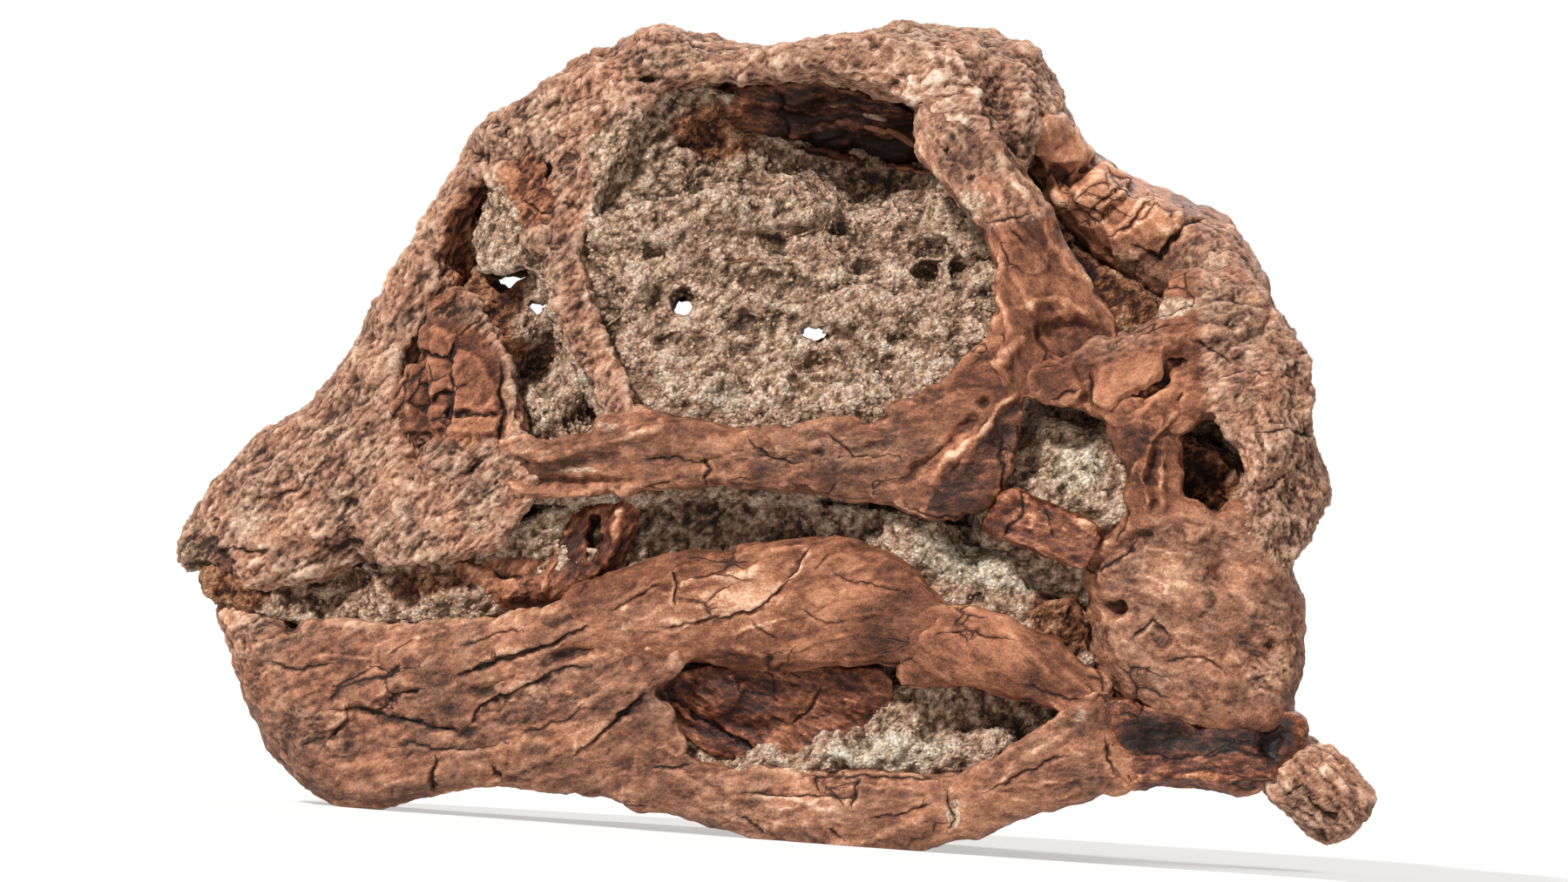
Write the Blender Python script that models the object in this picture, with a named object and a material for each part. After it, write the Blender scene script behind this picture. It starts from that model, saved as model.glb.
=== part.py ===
"""Skull and lower jaw of an oviraptorid dinosaur, as it came out of the sandstone.

Every bone is one loft: a row of cuts across the bone, each going from one edge of the bone to
the other. Bones of the side follow the curved side of the skull. Bones of the roof and the
sandstone between the bones cross its middle. Where two of them meet, the one further down the
list is cut back, with a thin gap.

Sizes are millimetres in the skull's own frame: x runs from the beak tip backwards, z up, and
y across, with the left side at -y. At the end the skull is tipped forwards until its chin and
both lower bars of the jaw stand on one level.
"""

import math

import bmesh
import bpy
import numpy as np
from mathutils import Matrix, Vector

MM = 0.001
GAP = 0.3  # clearance between two neighbouring solids
ROUNDING = 0.62  # size of a bone's end face, as a share of its last cut
CAP_REACH = 0.45  # how far that face lies beyond the cut, as a share of the bone's half thickness
MERGE = 0.001  # corners closer than this become one
FLAT_ANGLE = 3.5  # degrees between two faces below which they become one

# The two places where the jaw stands, and how much its standing flats take off.
CHIN_X, CHIN_Z = 41.0, 7.9
HEEL_X, HEEL_Z = 98.0, 3.8
FLAT_DEPTH = 0.5

# Half the skull's width at three heights, along its length: (x, half width).
CHEEK_HALF = [
    (20, 3), (26, 6.5), (35, 10), (55, 15), (70, 19), (90, 23.5), (115, 27.5), (130, 29), (145, 28),
    (152, 24),
]
ROOF_HALF = [(20, 2), (40, 5.5), (60, 10), (75, 13.5), (100, 17), (115, 18), (125, 14), (140, 17), (150, 14)]
JAW_HALF = [(24, 4.5), (30, 8), (40, 11.5), (55, 14.5), (70, 17), (95, 21), (120, 25), (140, 26.5), (156, 26)]
# Height of the skull's upper outline and of its widest level, along its length: (x, z).
ROOF_TOP = [(20, 39), (40, 60), (50, 78), (60, 89), (75, 97), (115, 96), (126, 84), (142, 78), (156, 72)]
WIDEST = [(20, 35), (40, 41), (60, 46), (156, 46)]
JAW_FOOT_Z = 5.0
ROOF_TURN = 1.6  # above 1 the side stays wide for longer before it turns in to the roof

SIDES = (("left", -1), ("right", 1))

BONE = ("fossil_bone", (0.42, 0.19, 0.11), 0.72)
ROUGH_BONE = ("rough_fossil_bone", (0.45, 0.25, 0.16), 0.85)
DARK_BONE = ("dark_fossil_bone", (0.22, 0.075, 0.045), 0.45)
SANDSTONE = ("sandstone", (0.43, 0.34, 0.25), 0.95)

# Bones of the side, each a row of cuts (x, z, x, z, half thickness): one edge of the bone, its
# other edge, and half its thickness. The last number is how deep it lies below the side.
SIDE_BONES = [
    ("jugal", BONE, 0, [
        (58.5, 46.8, 58.2, 49.8, 1.2), (64, 45.1, 64, 50.5, 1.8), (70, 45.1, 70, 52.3, 2.4),
        (76, 45.5, 74.5, 53.7, 2.8), (82, 46, 80.5, 52.7, 2.8), (88, 45.7, 87, 51.3, 2.7),
        (94.5, 44.7, 94.5, 51.9, 2.7), (100.5, 43.7, 101, 53.1, 2.6), (106, 42.5, 106, 55.3, 2.4),
        (113, 42.3, 110, 58.1, 2), (115.8, 47.8, 112.5, 61, 1.8), (116.6, 56.3, 114.2, 63.1, 1.4),
    ]),
    ("quadratojugal", DARK_BONE, 0.6, [
        (113, 40.7, 116, 44.7, 1.3), (116.5, 39.5, 118.2, 43.9, 1.6), (120, 37.9, 121.8, 42.5, 1.6),
        (123.3, 36.1, 125.6, 40.9, 1.6),
    ]),
    ("postorbital", BONE, 0, [
        (104.5, 84.8, 108, 90.8, 3), (108.5, 80.8, 112.8, 87.3, 3.2), (112, 76.3, 117.8, 80.5, 3.2),
        (114.8, 71.3, 121.8, 72.9, 2.8), (115.2, 66.8, 126.2, 66.8, 2.4),
        (114.8, 62.5, 127.8, 63.7, 2.4), (113, 58.8, 123.8, 59.1, 2.2), (111.2, 55.3, 117.2, 57.5, 1.4),
    ]),
    ("squamosal", ROUGH_BONE, 0.4, [
        (118, 55.8, 118.5, 59.8, 1.8), (125, 54.3, 124.5, 60.5, 2.2), (131, 53.5, 131, 62.1, 2.8),
        (136.5, 53.3, 136, 66.8, 3.4), (142, 53.3, 141.2, 70.8, 4), (146, 53.5, 144.8, 67.5, 4),
        (148.6, 54.5, 146.8, 64.3, 3.2),
    ]),
    ("quadrate", ROUGH_BONE, 0, [
        (126.8, 52.1, 134.5, 56.1, 2), (129.5, 46.8, 135, 49.3, 2), (129.8, 42.3, 135.2, 43.3, 2.4),
        (124, 37.3, 145, 40.1, 3.8), (125, 31.3, 148.8, 33.1, 5.2), (125.6, 25.8, 149.8, 27.3, 5.8),
        (128.5, 21.3, 148.4, 22.1, 5.2), (133, 19.8, 147.4, 19.1, 4),
    ]),
    ("paroccipital", ROUGH_BONE, 0.4, [
        (140, 54.1, 149, 54.8, 3.4), (142.8, 49.3, 150.6, 50.3, 4), (143, 44.3, 151.8, 44.3, 4.2),
        (142.2, 41.1, 149.9, 40.1, 4), (143.8, 38.1, 147.8, 37.1, 3),
    ]),
    ("lacrimal", ROUGH_BONE, 0, [
        (59.2, 88.1, 74, 90.1, 3.2), (58, 82.3, 72.2, 84.1, 3.4), (59, 76.3, 68.8, 77.7, 3),
        (62.2, 71.1, 65.6, 72.7, 2.4), (64.5, 67.3, 67.4, 67.7, 1.8), (66, 62.3, 69, 62.7, 1.6),
        (69, 57.3, 71.2, 58.3, 1.5), (70.2, 53.3, 72.4, 54.7, 1.4),
    ]),
]
MUZZLE = [
    (21.6, 36.3, 20.5, 39.1, 2), (24, 36.1, 24, 44.9, 4.6), (27, 34.1, 27.8, 48.7, 6.6),
    (31, 33.1, 32, 52.6, 8.6), (35, 34.1, 36, 55.1, 10), (40, 36.1, 40, 59.3, 11),
    (43.6, 36.3, 42.5, 60.3, 11.4),
]
MAXILLA = [
    (44, 36.1, 46.6, 56.7, 2.4), (50, 37.3, 50, 62.9, 2.8), (55.5, 38.1, 55, 64.7, 2.8),
    (59, 41.3, 58.2, 61.3, 2.4), (61.2, 44.3, 59.2, 52.1, 1.8),
]
PALATE = [
    (52.5, 34.9, 52.2, 36.8, 1), (58, 31.8, 58, 37.3, 1.4), (64, 32.3, 62.5, 41.3, 1.6),
    (69, 34.5, 69, 43.8, 1.6), (71.2, 35.8, 72.5, 44.1, 1.2),
]
NASAL = [
    (47, 57.3, 40.8, 60.9, 7), (50.5, 63.3, 43.8, 66.5, 7.6), (54, 71.3, 48.8, 73.9, 8.2),
    (57.2, 79.8, 51.6, 80.1, 9.2), (60.4, 84.1, 55.8, 87.3, 10), (65, 86.3, 61.2, 89.9, 11),
    (70, 88.3, 66.8, 94.5, 12.4),
]
FRONTAL = [
    (70.8, 88.3, 69.4, 95.1, 13), (76, 90.3, 76, 97.5, 14), (82, 91.8, 82, 95.8, 15),
    (88, 92.5, 88, 94.9, 15.6), (94.5, 92.5, 94.5, 96.5, 16.2), (100.5, 90.8, 100, 97.2, 16.6),
    (106, 88.3, 104.5, 97.9, 17), (111, 86.3, 111.2, 97.1, 17.4), (114.3, 85.8, 114.8, 95.9, 17),
    (117.5, 85.3, 118.4, 94.7, 16.6),
]
# Knobs and hollows of the rough roof: (x, y, height), with hollows negative.
ROOF_KNOBS = [
    (76, -8.5, 1.1), (74.5, 7, 0.9), (81.5, -12, -1), (82, 2, 0.8), (84.5, 11.5, 0.9), (88.5, -6.5, 0.9),
    (92, 6.5, -0.9), (94.5, -13, 1), (95, 14, 0.8), (99.5, -3.5, -0.9), (101, 8.5, 1), (104.5, -12.5, -1),
    (106, 1.5, 0.9), (108.5, 14.5, 1.1), (111.5, -15.5, 1.3), (112, -5.5, 1), (113, 7, -0.9),
    (117, -12, -1.2), (118, 2.5, 0.9),
]
KNOB_REACH = 4.2
ORBIT_ROOF = [
    (80, 86.3, 80, 91.3, 6), (85, 84.8, 85, 92.1, 9), (94, 83.8, 94, 92.3, 11),
    (102, 82.3, 102, 90.3, 12), (107.5, 81.3, 107.5, 87.8, 11),
]
PARIETAL = [
    (119, 79.8, 120.3, 91.3, 13), (122.5, 75.3, 124.5, 84.8, 12.5), (127.5, 70.3, 129, 80.9, 12),
    (133, 67.8, 134.8, 78.5, 12.5), (138.5, 65.3, 141, 76.1, 14), (141.5, 61.8, 145.2, 68.8, 16),
]
BRAINCASE = [
    (116, 58.3, 115.2, 86.3, 9), (124, 49.3, 124, 74.3, 11), (134, 41.3, 134.5, 68.3, 14.5),
    (143, 37.3, 144, 61.3, 18), (147.8, 39.3, 147.8, 54.3, 17), (149.6, 42.3, 149.6, 49.3, 13),
]
JAW_BONES = [
    ("surangular_front", BONE, 0.2, [
        (66, 28.8, 65, 32.5, 1.6), (71, 27.8, 70, 35.3, 2.2), (77, 26.5, 77, 37.5, 2.8),
        (84, 25.1, 84, 38.3, 3.2), (90, 24.6, 90, 39.2, 3.5), (96, 25.1, 95.5, 39.6, 3.5),
        (101, 25.6, 101.5, 38.1, 3.2), (103.8, 26.3, 105.8, 34.7, 2.6), (104.8, 27.5, 107.6, 32.3, 1.8),
    ]),
    ("surangular_rear", BONE, 0.2, [
        (103.4, 22.6, 104.2, 24.9, 1.4), (107, 22.7, 107, 29.1, 2), (110.5, 22.9, 110.2, 31.6, 2.6),
        (115, 21.9, 115, 30.7, 2.8), (119.5, 20.7, 120, 28.1, 2.8), (123.5, 20.3, 124, 25.3, 2.4),
        (125.2, 21.3, 126.2, 23.5, 1.8),
    ]),
    ("angular", BONE, 0, [
        (73.5, 8.8, 74.8, 16.8, 2), (79, 7.5, 79.5, 14.1, 2.2), (85, 6, 85, 12.7, 2.5),
        (91, 4.6, 91, 12.3, 2.7), (97, 3.8, 97, 12.3, 2.8), (103, 4.2, 103, 12.3, 2.8),
        (109, 5.2, 109.5, 12.3, 2.7), (115, 6.6, 114.5, 14.5, 2.5), (120, 8.6, 120, 18.1, 2.4),
        (124.5, 10.1, 124.5, 19.8, 2.2), (128.2, 10.8, 126.4, 21.1, 2),
    ]),
    ("articular", DARK_BONE, 0.8, [
        (129, 11.1, 127.5, 21.1, 2.2), (134, 11.7, 134, 20.7, 2.8), (139.5, 11.1, 139.5, 19.8, 3.2),
        (143, 10.3, 143, 19.1, 3.2), (145.6, 11.9, 145.6, 18.3, 3), (148.4, 14.7, 147.8, 19.1, 2.2),
    ]),
    ("retroarticular", ROUGH_BONE, 0, [
        (146.2, 10.1, 145.5, 12.3, 2), (148.5, 7.8, 148.8, 15.6, 3.2), (150.5, 6, 152, 15.5, 3.6),
        (152.3, 4.7, 155, 13.1, 3.2), (154.5, 6.3, 156.5, 11.3, 2.4),
    ]),
    ("prearticular", DARK_BONE, 4.5, [
        (76.2, 17.8, 76.2, 23.8, 1.2), (83, 14.1, 83, 24.8, 1.4), (92, 14.1, 92, 25.1, 1.4),
        (100, 15.5, 100, 24.5, 1.2),
    ]),
]
CHIN = [
    (26.2, 29.1, 25.2, 32.3, 3.6), (28.2, 21.3, 27.5, 32.1, 6.2), (31, 15.1, 30.5, 31.5, 8),
    (34.5, 11.1, 33.5, 30.1, 9), (38.5, 8.5, 37.5, 29.7, 8.6), (41.5, 8.3, 40.5, 29.7, 7),
]
JAW_ARM = [
    (35, 11.1, 34.5, 30.1, 3.6), (41, 7.9, 41.5, 29.7, 3.6), (45, 8.5, 46, 29.1, 3.2),
    (50, 10.2, 52, 29.5, 3), (56, 10.7, 58, 30.5, 2.8), (62, 10.5, 64, 31.3, 2.6),
    (68, 9.9, 69, 27.8, 2.4), (72.8, 9.1, 75.2, 25.8, 2), (75, 11.8, 77, 25.2, 1.5),
]
# The sand in the eye socket has a face of its own, deepest in a pocket under the rear roof. Its
# cuts give the half thickness at equal steps from their lower to their upper edge.
SANDSTONES = [
    ("sandstone_snout", [
        (47, 41.3, 47, 56.3, 8.6), (54, 41.5, 54.5, 71.3, 11.6), (61, 42.8, 60.5, 73.3, 13),
        (67, 44.8, 66, 67.3, 13.6), (72, 45.3, 70.5, 53.3, 14.4),
    ]),
    ("sandstone_orbit", [
        (58.5, 43.8, 59, 84.3, (8, 8.5, 9, 9, 8.5, 8, 8)),
        (65, 43.8, 65, 89.3, (10, 12, 13, 13, 11, 9, 8)),
        (72, 44.3, 72, 89.5, (14, 16, 15, 13.5, 12.5, 9, 8.5)),
        (80, 44.3, 80, 90.8, (16, 18, 14.5, 13.5, 12.5, 7.5, 8)),
        (88, 44.3, 88, 91, (17, 18, 14, 14, 12.3, 6.8, 8)),
        (95, 44.3, 95, 91.3, (18, 18.5, 14.2, 14, 11.5, 5, 8)),
        (101, 44.3, 101, 89.5, (18, 19, 15, 13.7, 10.5, 3.8, 7.5)),
        (107, 44.3, 107, 86.3, (17, 20, 16.5, 13.7, 12.5, 6.5, 8)),
        (114, 42.3, 113, 78.3, (15, 18, 19, 17, 14.5, 14, 12)),
        (120, 42.3, 118, 71.3, (15, 16, 17, 16, 15, 14, 12)),
    ]),
    ("sandstone_cheek", [
        (113, 37.3, 114, 54.3, 19), (120, 31.3, 120, 54.3, 21), (128, 27.3, 128, 53.3, 22),
        (136, 27.3, 137, 53.3, 22), (143, 30.3, 143, 49.3, 21),
    ]),
    ("sandstone_mouth", [
        (25, 32.3, 24, 35.8, 4), (31, 30.5, 31, 34.1, 7.5), (42, 29.1, 42, 36.3, 10),
        (54, 29.7, 53, 37.8, 12.5), (66, 31.3, 64, 43.8, 14.5), (86, 31.3, 86, 45.3, 18.5),
        (104, 27.3, 104, 43.3, 21), (115, 24.3, 115, 41.3, 22), (124, 23.3, 124, 37.3, 22.5),
    ]),
    ("sandstone_jaw", [
        (42, 12.3, 42, 28.3, 6), (56, 14.3, 56, 29.8, 10), (70, 13.3, 70, 31.3, 12),
        (85, 10.8, 85, 32.3, 15), (102, 9.8, 102, 30.3, 18), (118, 11.8, 118, 27.3, 20.5),
        (130, 13.8, 130, 25.3, 21.5), (139, 16.3, 139, 23.3, 20),
    ]),
]


def along(table, x):
    """The value of a table of (x, value) pairs at x, on straight lines between its pairs."""
    return float(np.interp(x, [pair[0] for pair in table], [pair[1] for pair in table]))


def half_width(x, z):
    """How far the skull's side lies from its middle plane at this length and height."""
    cheek, level = along(CHEEK_HALF, x), along(WIDEST, x)
    if z >= level:
        rise = min(1.0, (z - level) / max(1.0, along(ROOF_TOP, x) - level))
        return cheek + (along(ROOF_HALF, x) - cheek) * rise**ROOF_TURN
    fall = min(1.0, (level - z) / (level - JAW_FOOT_Z))
    return cheek + (along(JAW_HALF, x) - cheek) * fall


def cut_ring(cut, corners, squareness, side, depth):
    """One closed ring round a cut: a superellipse between its two edges.

    With a side of -1 or 1 the ring follows the skull's curved side, with 0 it crosses the middle.
    """
    first, second = Vector((cut[0], 0, cut[1])), Vector((cut[2], 0, cut[3]))
    centre, reach = (first + second) / 2, (second - first) / 2
    ring = []
    for k in range(corners):
        turn = 2 * math.pi * k / corners
        c, s = math.cos(turn), math.sin(turn)
        point = centre + reach * math.copysign(abs(c) ** (2 / squareness), c)
        middle = side * (half_width(point.x, point.z) - cut[4] - depth)
        point.y = middle + math.copysign(abs(s) ** (2 / squareness), s) * cut[4]
        ring.append(point)
    return ring


def face_ring(cut):
    """One closed ring round a cut across the middle whose half thickness changes on the way."""
    first, second = Vector((cut[0], 0, cut[1])), Vector((cut[2], 0, cut[3]))
    steps = len(cut[4]) - 1
    rows = [(first.lerp(second, k / steps), depth) for k, depth in enumerate(cut[4])]
    left = [point + Vector((0, -depth, 0)) for point, depth in rows]
    right = [point + Vector((0, depth, 0)) for point, depth in reversed(rows)]
    return left + right


def press_knobs(ring, middle, knobs):
    """Moves the upper points of a ring out to its knobs and in to its hollows."""
    for point in ring:
        if point.z > middle.z:
            out = (point - middle).normalized()
            for x, y, height in knobs:
                away = math.hypot(point.x - x, point.y - y) / KNOB_REACH
                point += out * height * math.exp(-away * away)


def loft_mesh(name, cuts, corners, squareness, side=0, depth=0.0, knobs=()):
    """A closed mesh through a row of cuts, rounded at both ends."""
    if isinstance(cuts[0][4], tuple):
        rings = [face_ring(cut) for cut in cuts]
        corners = len(rings[0])
    else:
        rings = [cut_ring(cut, corners, squareness, side, depth) for cut in cuts]
    middles = [sum(ring, Vector()) / corners for ring in rings]
    for ring, middle in zip(rings, middles):
        press_knobs(ring, middle, knobs)
    for end, inner in ((0, 1), (-1, -2)):
        out = (middles[end] - middles[inner]).normalized()
        high = math.hypot(cuts[end][2] - cuts[end][0], cuts[end][3] - cuts[end][1]) / 2
        thick = max(abs(point.y - middles[end].y) for point in rings[end])
        reach = out * CAP_REACH * min(high, thick)
        cap = [middles[end] + (point - middles[end]) * ROUNDING + reach for point in rings[end]]
        rings.insert(0 if end == 0 else len(rings), cap)
    bm = bmesh.new()
    rows = [[bm.verts.new(point * MM) for point in ring] for ring in rings]
    for near, far in zip(rows, rows[1:]):
        for k in range(corners):
            n = (k + 1) % corners
            bm.faces.new((near[k], near[n], far[n]))
            bm.faces.new((near[k], far[n], far[k]))
    for row in (rows[0], rows[-1]):
        for k in range(1, corners - 1):
            bm.faces.new((row[0], row[k], row[k + 1]))
    bmesh.ops.recalc_face_normals(bm, faces=bm.faces)
    mesh = bpy.data.meshes.new(name)
    bm.to_mesh(mesh)
    bm.free()
    return mesh


def grown_mesh(name, mesh):
    """The same solid, larger by the gap on every face."""
    bm = bmesh.new()
    bm.from_mesh(mesh)
    moves = [vert.normal * vert.calc_shell_factor() * GAP * MM for vert in bm.verts]
    for vert, move in zip(bm.verts, moves):
        vert.co += move
    grown = bpy.data.meshes.new(name)
    bm.to_mesh(grown)
    bm.free()
    return grown


def material(finish):
    """The Principled material of a finish, made the first time it is asked for."""
    name, colour, roughness = finish
    if name in bpy.data.materials:
        return bpy.data.materials[name]
    made = bpy.data.materials.new(name)
    made.use_nodes = True
    shader = made.node_tree.nodes["Principled BSDF"]
    shader.inputs["Base Color"].default_value = (*colour, 1)
    shader.inputs["Roughness"].default_value = roughness
    return made


class Skull:
    """Builds the solids in order and cuts each one back from those before it."""

    def __init__(self):
        self.parts = bpy.data.collections.new("dinosaur_skull")
        self.cutters = bpy.data.collections.new("cutters")
        for collection in (self.parts, self.cutters):
            bpy.context.scene.collection.children.link(collection)
        self.placed = []  # (cutter object, lowest corner, highest corner)

    def add(self, name, cuts, finish, corners=8, squareness=2.6, joined=None, **place):
        """One solid. With joined, it becomes a part of that solid instead of one of its own."""
        solid = bpy.data.objects.new(name, loft_mesh(name, cuts, corners, squareness, **place))
        self.parts.objects.link(solid)
        solid.data.materials.append(material(finish))
        grown = grown_mesh("cut_" + name, solid.data)
        cutter = bpy.data.objects.new("cut_" + name, grown)
        self.cutters.objects.link(cutter)
        cutter.hide_render = True
        cutter.display_type = "WIRE"
        corners_of = [vert.co for vert in grown.vertices]
        low = [min(co[a] for co in corners_of) for a in range(3)]
        high = [max(co[a] for co in corners_of) for a in range(3)]
        for other, other_low, other_high in self.placed:
            own = joined is not None and other.name == "cut_" + joined.name
            if not own and all(low[a] < other_high[a] and other_low[a] < high[a] for a in range(3)):
                self.combine(solid, other, "DIFFERENCE")
        if joined is not None:
            solid.hide_render = True
            solid.display_type = "WIRE"
            self.combine(joined, solid, "UNION")
        self.placed.append((cutter, low, high))
        return solid

    def combine(self, solid, other, operation):
        step = solid.modifiers.new(other.name, "BOOLEAN")
        step.operation = operation
        step.object = other

    def pair(self, name, cuts, finish, depth=0.0, **shape):
        """A bone of both sides."""
        for label, side in SIDES:
            self.add(f"{name}_{label}", cuts, finish, side=side, depth=depth, **shape)


def build_bones(skull):
    for name, finish, depth, cuts in SIDE_BONES:
        skull.pair(name, cuts, finish, depth)
    skull.add("premaxilla", MUZZLE, ROUGH_BONE, corners=10, squareness=2.3)
    skull.pair("maxilla", MAXILLA, BONE)
    skull.add("nasal", NASAL, ROUGH_BONE, corners=10, squareness=2.3)
    skull.add("frontal", FRONTAL, ROUGH_BONE, corners=12, squareness=2.4, knobs=ROOF_KNOBS)
    skull.add("orbit_roof", ORBIT_ROOF, DARK_BONE)
    skull.add("parietal", PARIETAL, BONE, corners=10)
    skull.add("braincase", BRAINCASE, ROUGH_BONE, corners=8)
    skull.pair("pterygoid", PALATE, DARK_BONE, 4.0)
    for name, finish, depth, cuts in JAW_BONES:
        skull.pair(name, cuts, finish, depth)
    # The two dentaries are grown together at the chin, so they are one solid.
    dentary = skull.add("dentary", CHIN, BONE, corners=10)
    for label, side in SIDES:
        skull.add("arm_" + label, JAW_ARM, BONE, side=side, joined=dentary)


def build_sandstone(skull):
    for name, cuts in SANDSTONES:
        skull.add(name, cuts, SANDSTONE, squareness=3)


def keep_largest_piece(bm):
    """Leaves out the crumbs that a cut has made."""
    left, pieces = set(bm.verts), []
    while left:
        stack, piece = [left.pop()], []
        while stack:
            vert = stack.pop()
            piece.append(vert)
            for edge in vert.link_edges:
                other = edge.other_vert(vert)
                if other in left:
                    left.remove(other)
                    stack.append(other)
        pieces.append(piece)
    for piece in sorted(pieces, key=len)[:-1]:
        bmesh.ops.delete(bm, geom=piece, context="VERTS")


def shave_flat(bm, point, normal):
    """Takes off what lies below the plane and closes the cut."""
    cut = bmesh.ops.bisect_plane(
        bm,
        geom=bm.verts[:] + bm.edges[:] + bm.faces[:],
        dist=1e-6,
        plane_co=point,
        plane_no=normal,
        clear_inner=True,
    )
    rim = [part for part in cut["geom_cut"] if isinstance(part, bmesh.types.BMEdge)]
    if rim:
        bmesh.ops.holes_fill(bm, edges=rim)


def finish_solids(skull):
    """Applies the cuts, drops crumbs, shaves the standing flats and tips the skull on to them."""
    pitch = math.atan2(CHIN_Z - HEEL_Z, HEEL_X - CHIN_X)
    normal = Vector((math.sin(pitch), 0, math.cos(pitch)))
    foot = Vector((HEEL_X, 0, HEEL_Z)) * MM + normal * FLAT_DEPTH * MM
    graph = bpy.context.evaluated_depsgraph_get()
    solids = [obj for obj in skull.parts.objects if not obj.hide_render]
    meshes = {obj: bpy.data.meshes.new_from_object(obj.evaluated_get(graph)) for obj in solids}
    for obj, mesh in meshes.items():
        bm = bmesh.new()
        bm.from_mesh(mesh)
        bmesh.ops.remove_doubles(bm, verts=bm.verts, dist=MERGE * MM)
        keep_largest_piece(bm)
        shave_flat(bm, foot, normal)
        bmesh.ops.dissolve_limit(
            bm, angle_limit=math.radians(FLAT_ANGLE), verts=bm.verts, edges=bm.edges
        )
        bmesh.ops.triangulate(bm, faces=bm.faces)
        bmesh.ops.translate(bm, verts=bm.verts, vec=-foot)
        bmesh.ops.rotate(bm, verts=bm.verts, matrix=normal.rotation_difference(Vector((0, 0, 1))).to_matrix())
        bm.to_mesh(mesh)
        bm.free()
        obj.modifiers.clear()
        obj.data = mesh
    for obj in list(skull.parts.objects):
        if obj.hide_render:
            bpy.data.objects.remove(obj)
    return solids


def centre_on_origin(solids):
    xs = [vert.co.x for obj in solids for vert in obj.data.vertices]
    shift = -(min(xs) + max(xs)) / 2
    for obj in solids:
        obj.data.transform(Matrix.Translation((shift, 0, 0)))


def main():
    for obj in list(bpy.data.objects):
        bpy.data.objects.remove(obj)
    skull = Skull()
    build_bones(skull)
    build_sandstone(skull)
    centre_on_origin(finish_solids(skull))


main()
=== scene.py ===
# %% [markdown]
# # A dinosaur's skull in its sandstone
# This lesson dresses a small oviraptorid skull: bone that turned to stone, cracked along its
# grain, with the sand it was buried in still filling the eye socket and the mouth. The solids
# that carry it are packed already, so the first step only loads them.

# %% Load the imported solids
import itertools
import math

import bmesh
import bpy
import numpy as np
from mathutils import Matrix, Vector
from mathutils.bvhtree import BVHTree


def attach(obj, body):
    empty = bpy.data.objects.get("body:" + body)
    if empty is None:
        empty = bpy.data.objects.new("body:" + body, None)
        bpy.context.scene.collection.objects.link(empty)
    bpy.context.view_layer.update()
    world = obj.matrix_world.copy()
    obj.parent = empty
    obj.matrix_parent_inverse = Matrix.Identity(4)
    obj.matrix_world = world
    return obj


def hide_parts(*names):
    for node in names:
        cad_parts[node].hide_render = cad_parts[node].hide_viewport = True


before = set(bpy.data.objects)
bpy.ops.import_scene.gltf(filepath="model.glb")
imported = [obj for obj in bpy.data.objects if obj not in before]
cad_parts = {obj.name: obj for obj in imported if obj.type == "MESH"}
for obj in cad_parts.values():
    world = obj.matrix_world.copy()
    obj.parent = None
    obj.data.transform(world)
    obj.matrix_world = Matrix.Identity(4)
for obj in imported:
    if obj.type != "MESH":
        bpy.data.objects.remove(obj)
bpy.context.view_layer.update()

scene = bpy.context.scene

# %% [markdown]
# ## One chart for the whole left side
# A fossil's marks are easiest to place as a collector draws them: on a side view. The chart
# counts millimetres along the skull from the left and down from the top, as seen from where
# the camera stands. The skull is tipped forwards on its jaw, so the chart is turned with it.

# %% The side chart
MM = 0.001
STANDING_PITCH = math.atan2(4.1, 57.0)  # slope from the chin to the heel of the jaw
CHART_ALONG, CHART_DOWN = 87.293, 96.228  # where the frame's origin lies on the chart
CHART_WIDTH, CHART_HEIGHT = 180.0, 101.3
CAMERA_DISTANCE = 1800.0
SIGHT_PLANE = -12.0  # depth at which the chart's millimetres are true
COS, SIN = math.cos(STANDING_PITCH), math.sin(STANDING_PITCH)


def chart_of(points):
    """Chart places (along, down) of points in frame millimetres; the right side is folded over."""
    along = points[:, 0] * COS + points[:, 2] * SIN + CHART_ALONG
    down = points[:, 0] * SIN - points[:, 2] * COS + CHART_DOWN
    nearness = CAMERA_DISTANCE / (CAMERA_DISTANCE - np.abs(points[:, 1]) - SIGHT_PLANE)
    along = CHART_WIDTH / 2 + (along - CHART_WIDTH / 2) * nearness
    down = CHART_HEIGHT / 2 + (down - CHART_HEIGHT / 2) * nearness
    return along, down


def place_of(along, down, depth):
    """The frame point, in millimetres, that shows at this place of the chart at this depth."""
    nearness = CAMERA_DISTANCE / (CAMERA_DISTANCE + depth - SIGHT_PLANE)
    across = (along - CHART_WIDTH / 2) / nearness + CHART_WIDTH / 2 - CHART_ALONG
    drop = (down - CHART_HEIGHT / 2) / nearness + CHART_HEIGHT / 2 - CHART_DOWN
    return np.array([across * COS + drop * SIN, depth, across * SIN - drop * COS])


print("chart centre in the frame, mm:", place_of(CHART_WIDTH / 2, CHART_HEIGHT / 2, SIGHT_PLANE))

# %% [markdown]
# ## Camera, floor and light
# A long lens from nearly two metres keeps the skull's proportions true, as a museum's
# catalogue picture does. The skull stands on a large light table: opal glass, lit from below,
# which keeps its shadow pale. The world is as pale, so no horizon shows. One lamp high on the
# left does most of the work, as relief only shows where light comes from one side. The lamps
# are suns, which light the far table as well as the near.

# %% Camera
SENSOR = 36.0


def placed(name, data):
    """An object with this name and data, linked to the scene."""
    thing = bpy.data.objects.new(name, data)
    scene.collection.objects.link(thing)
    return thing


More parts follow.
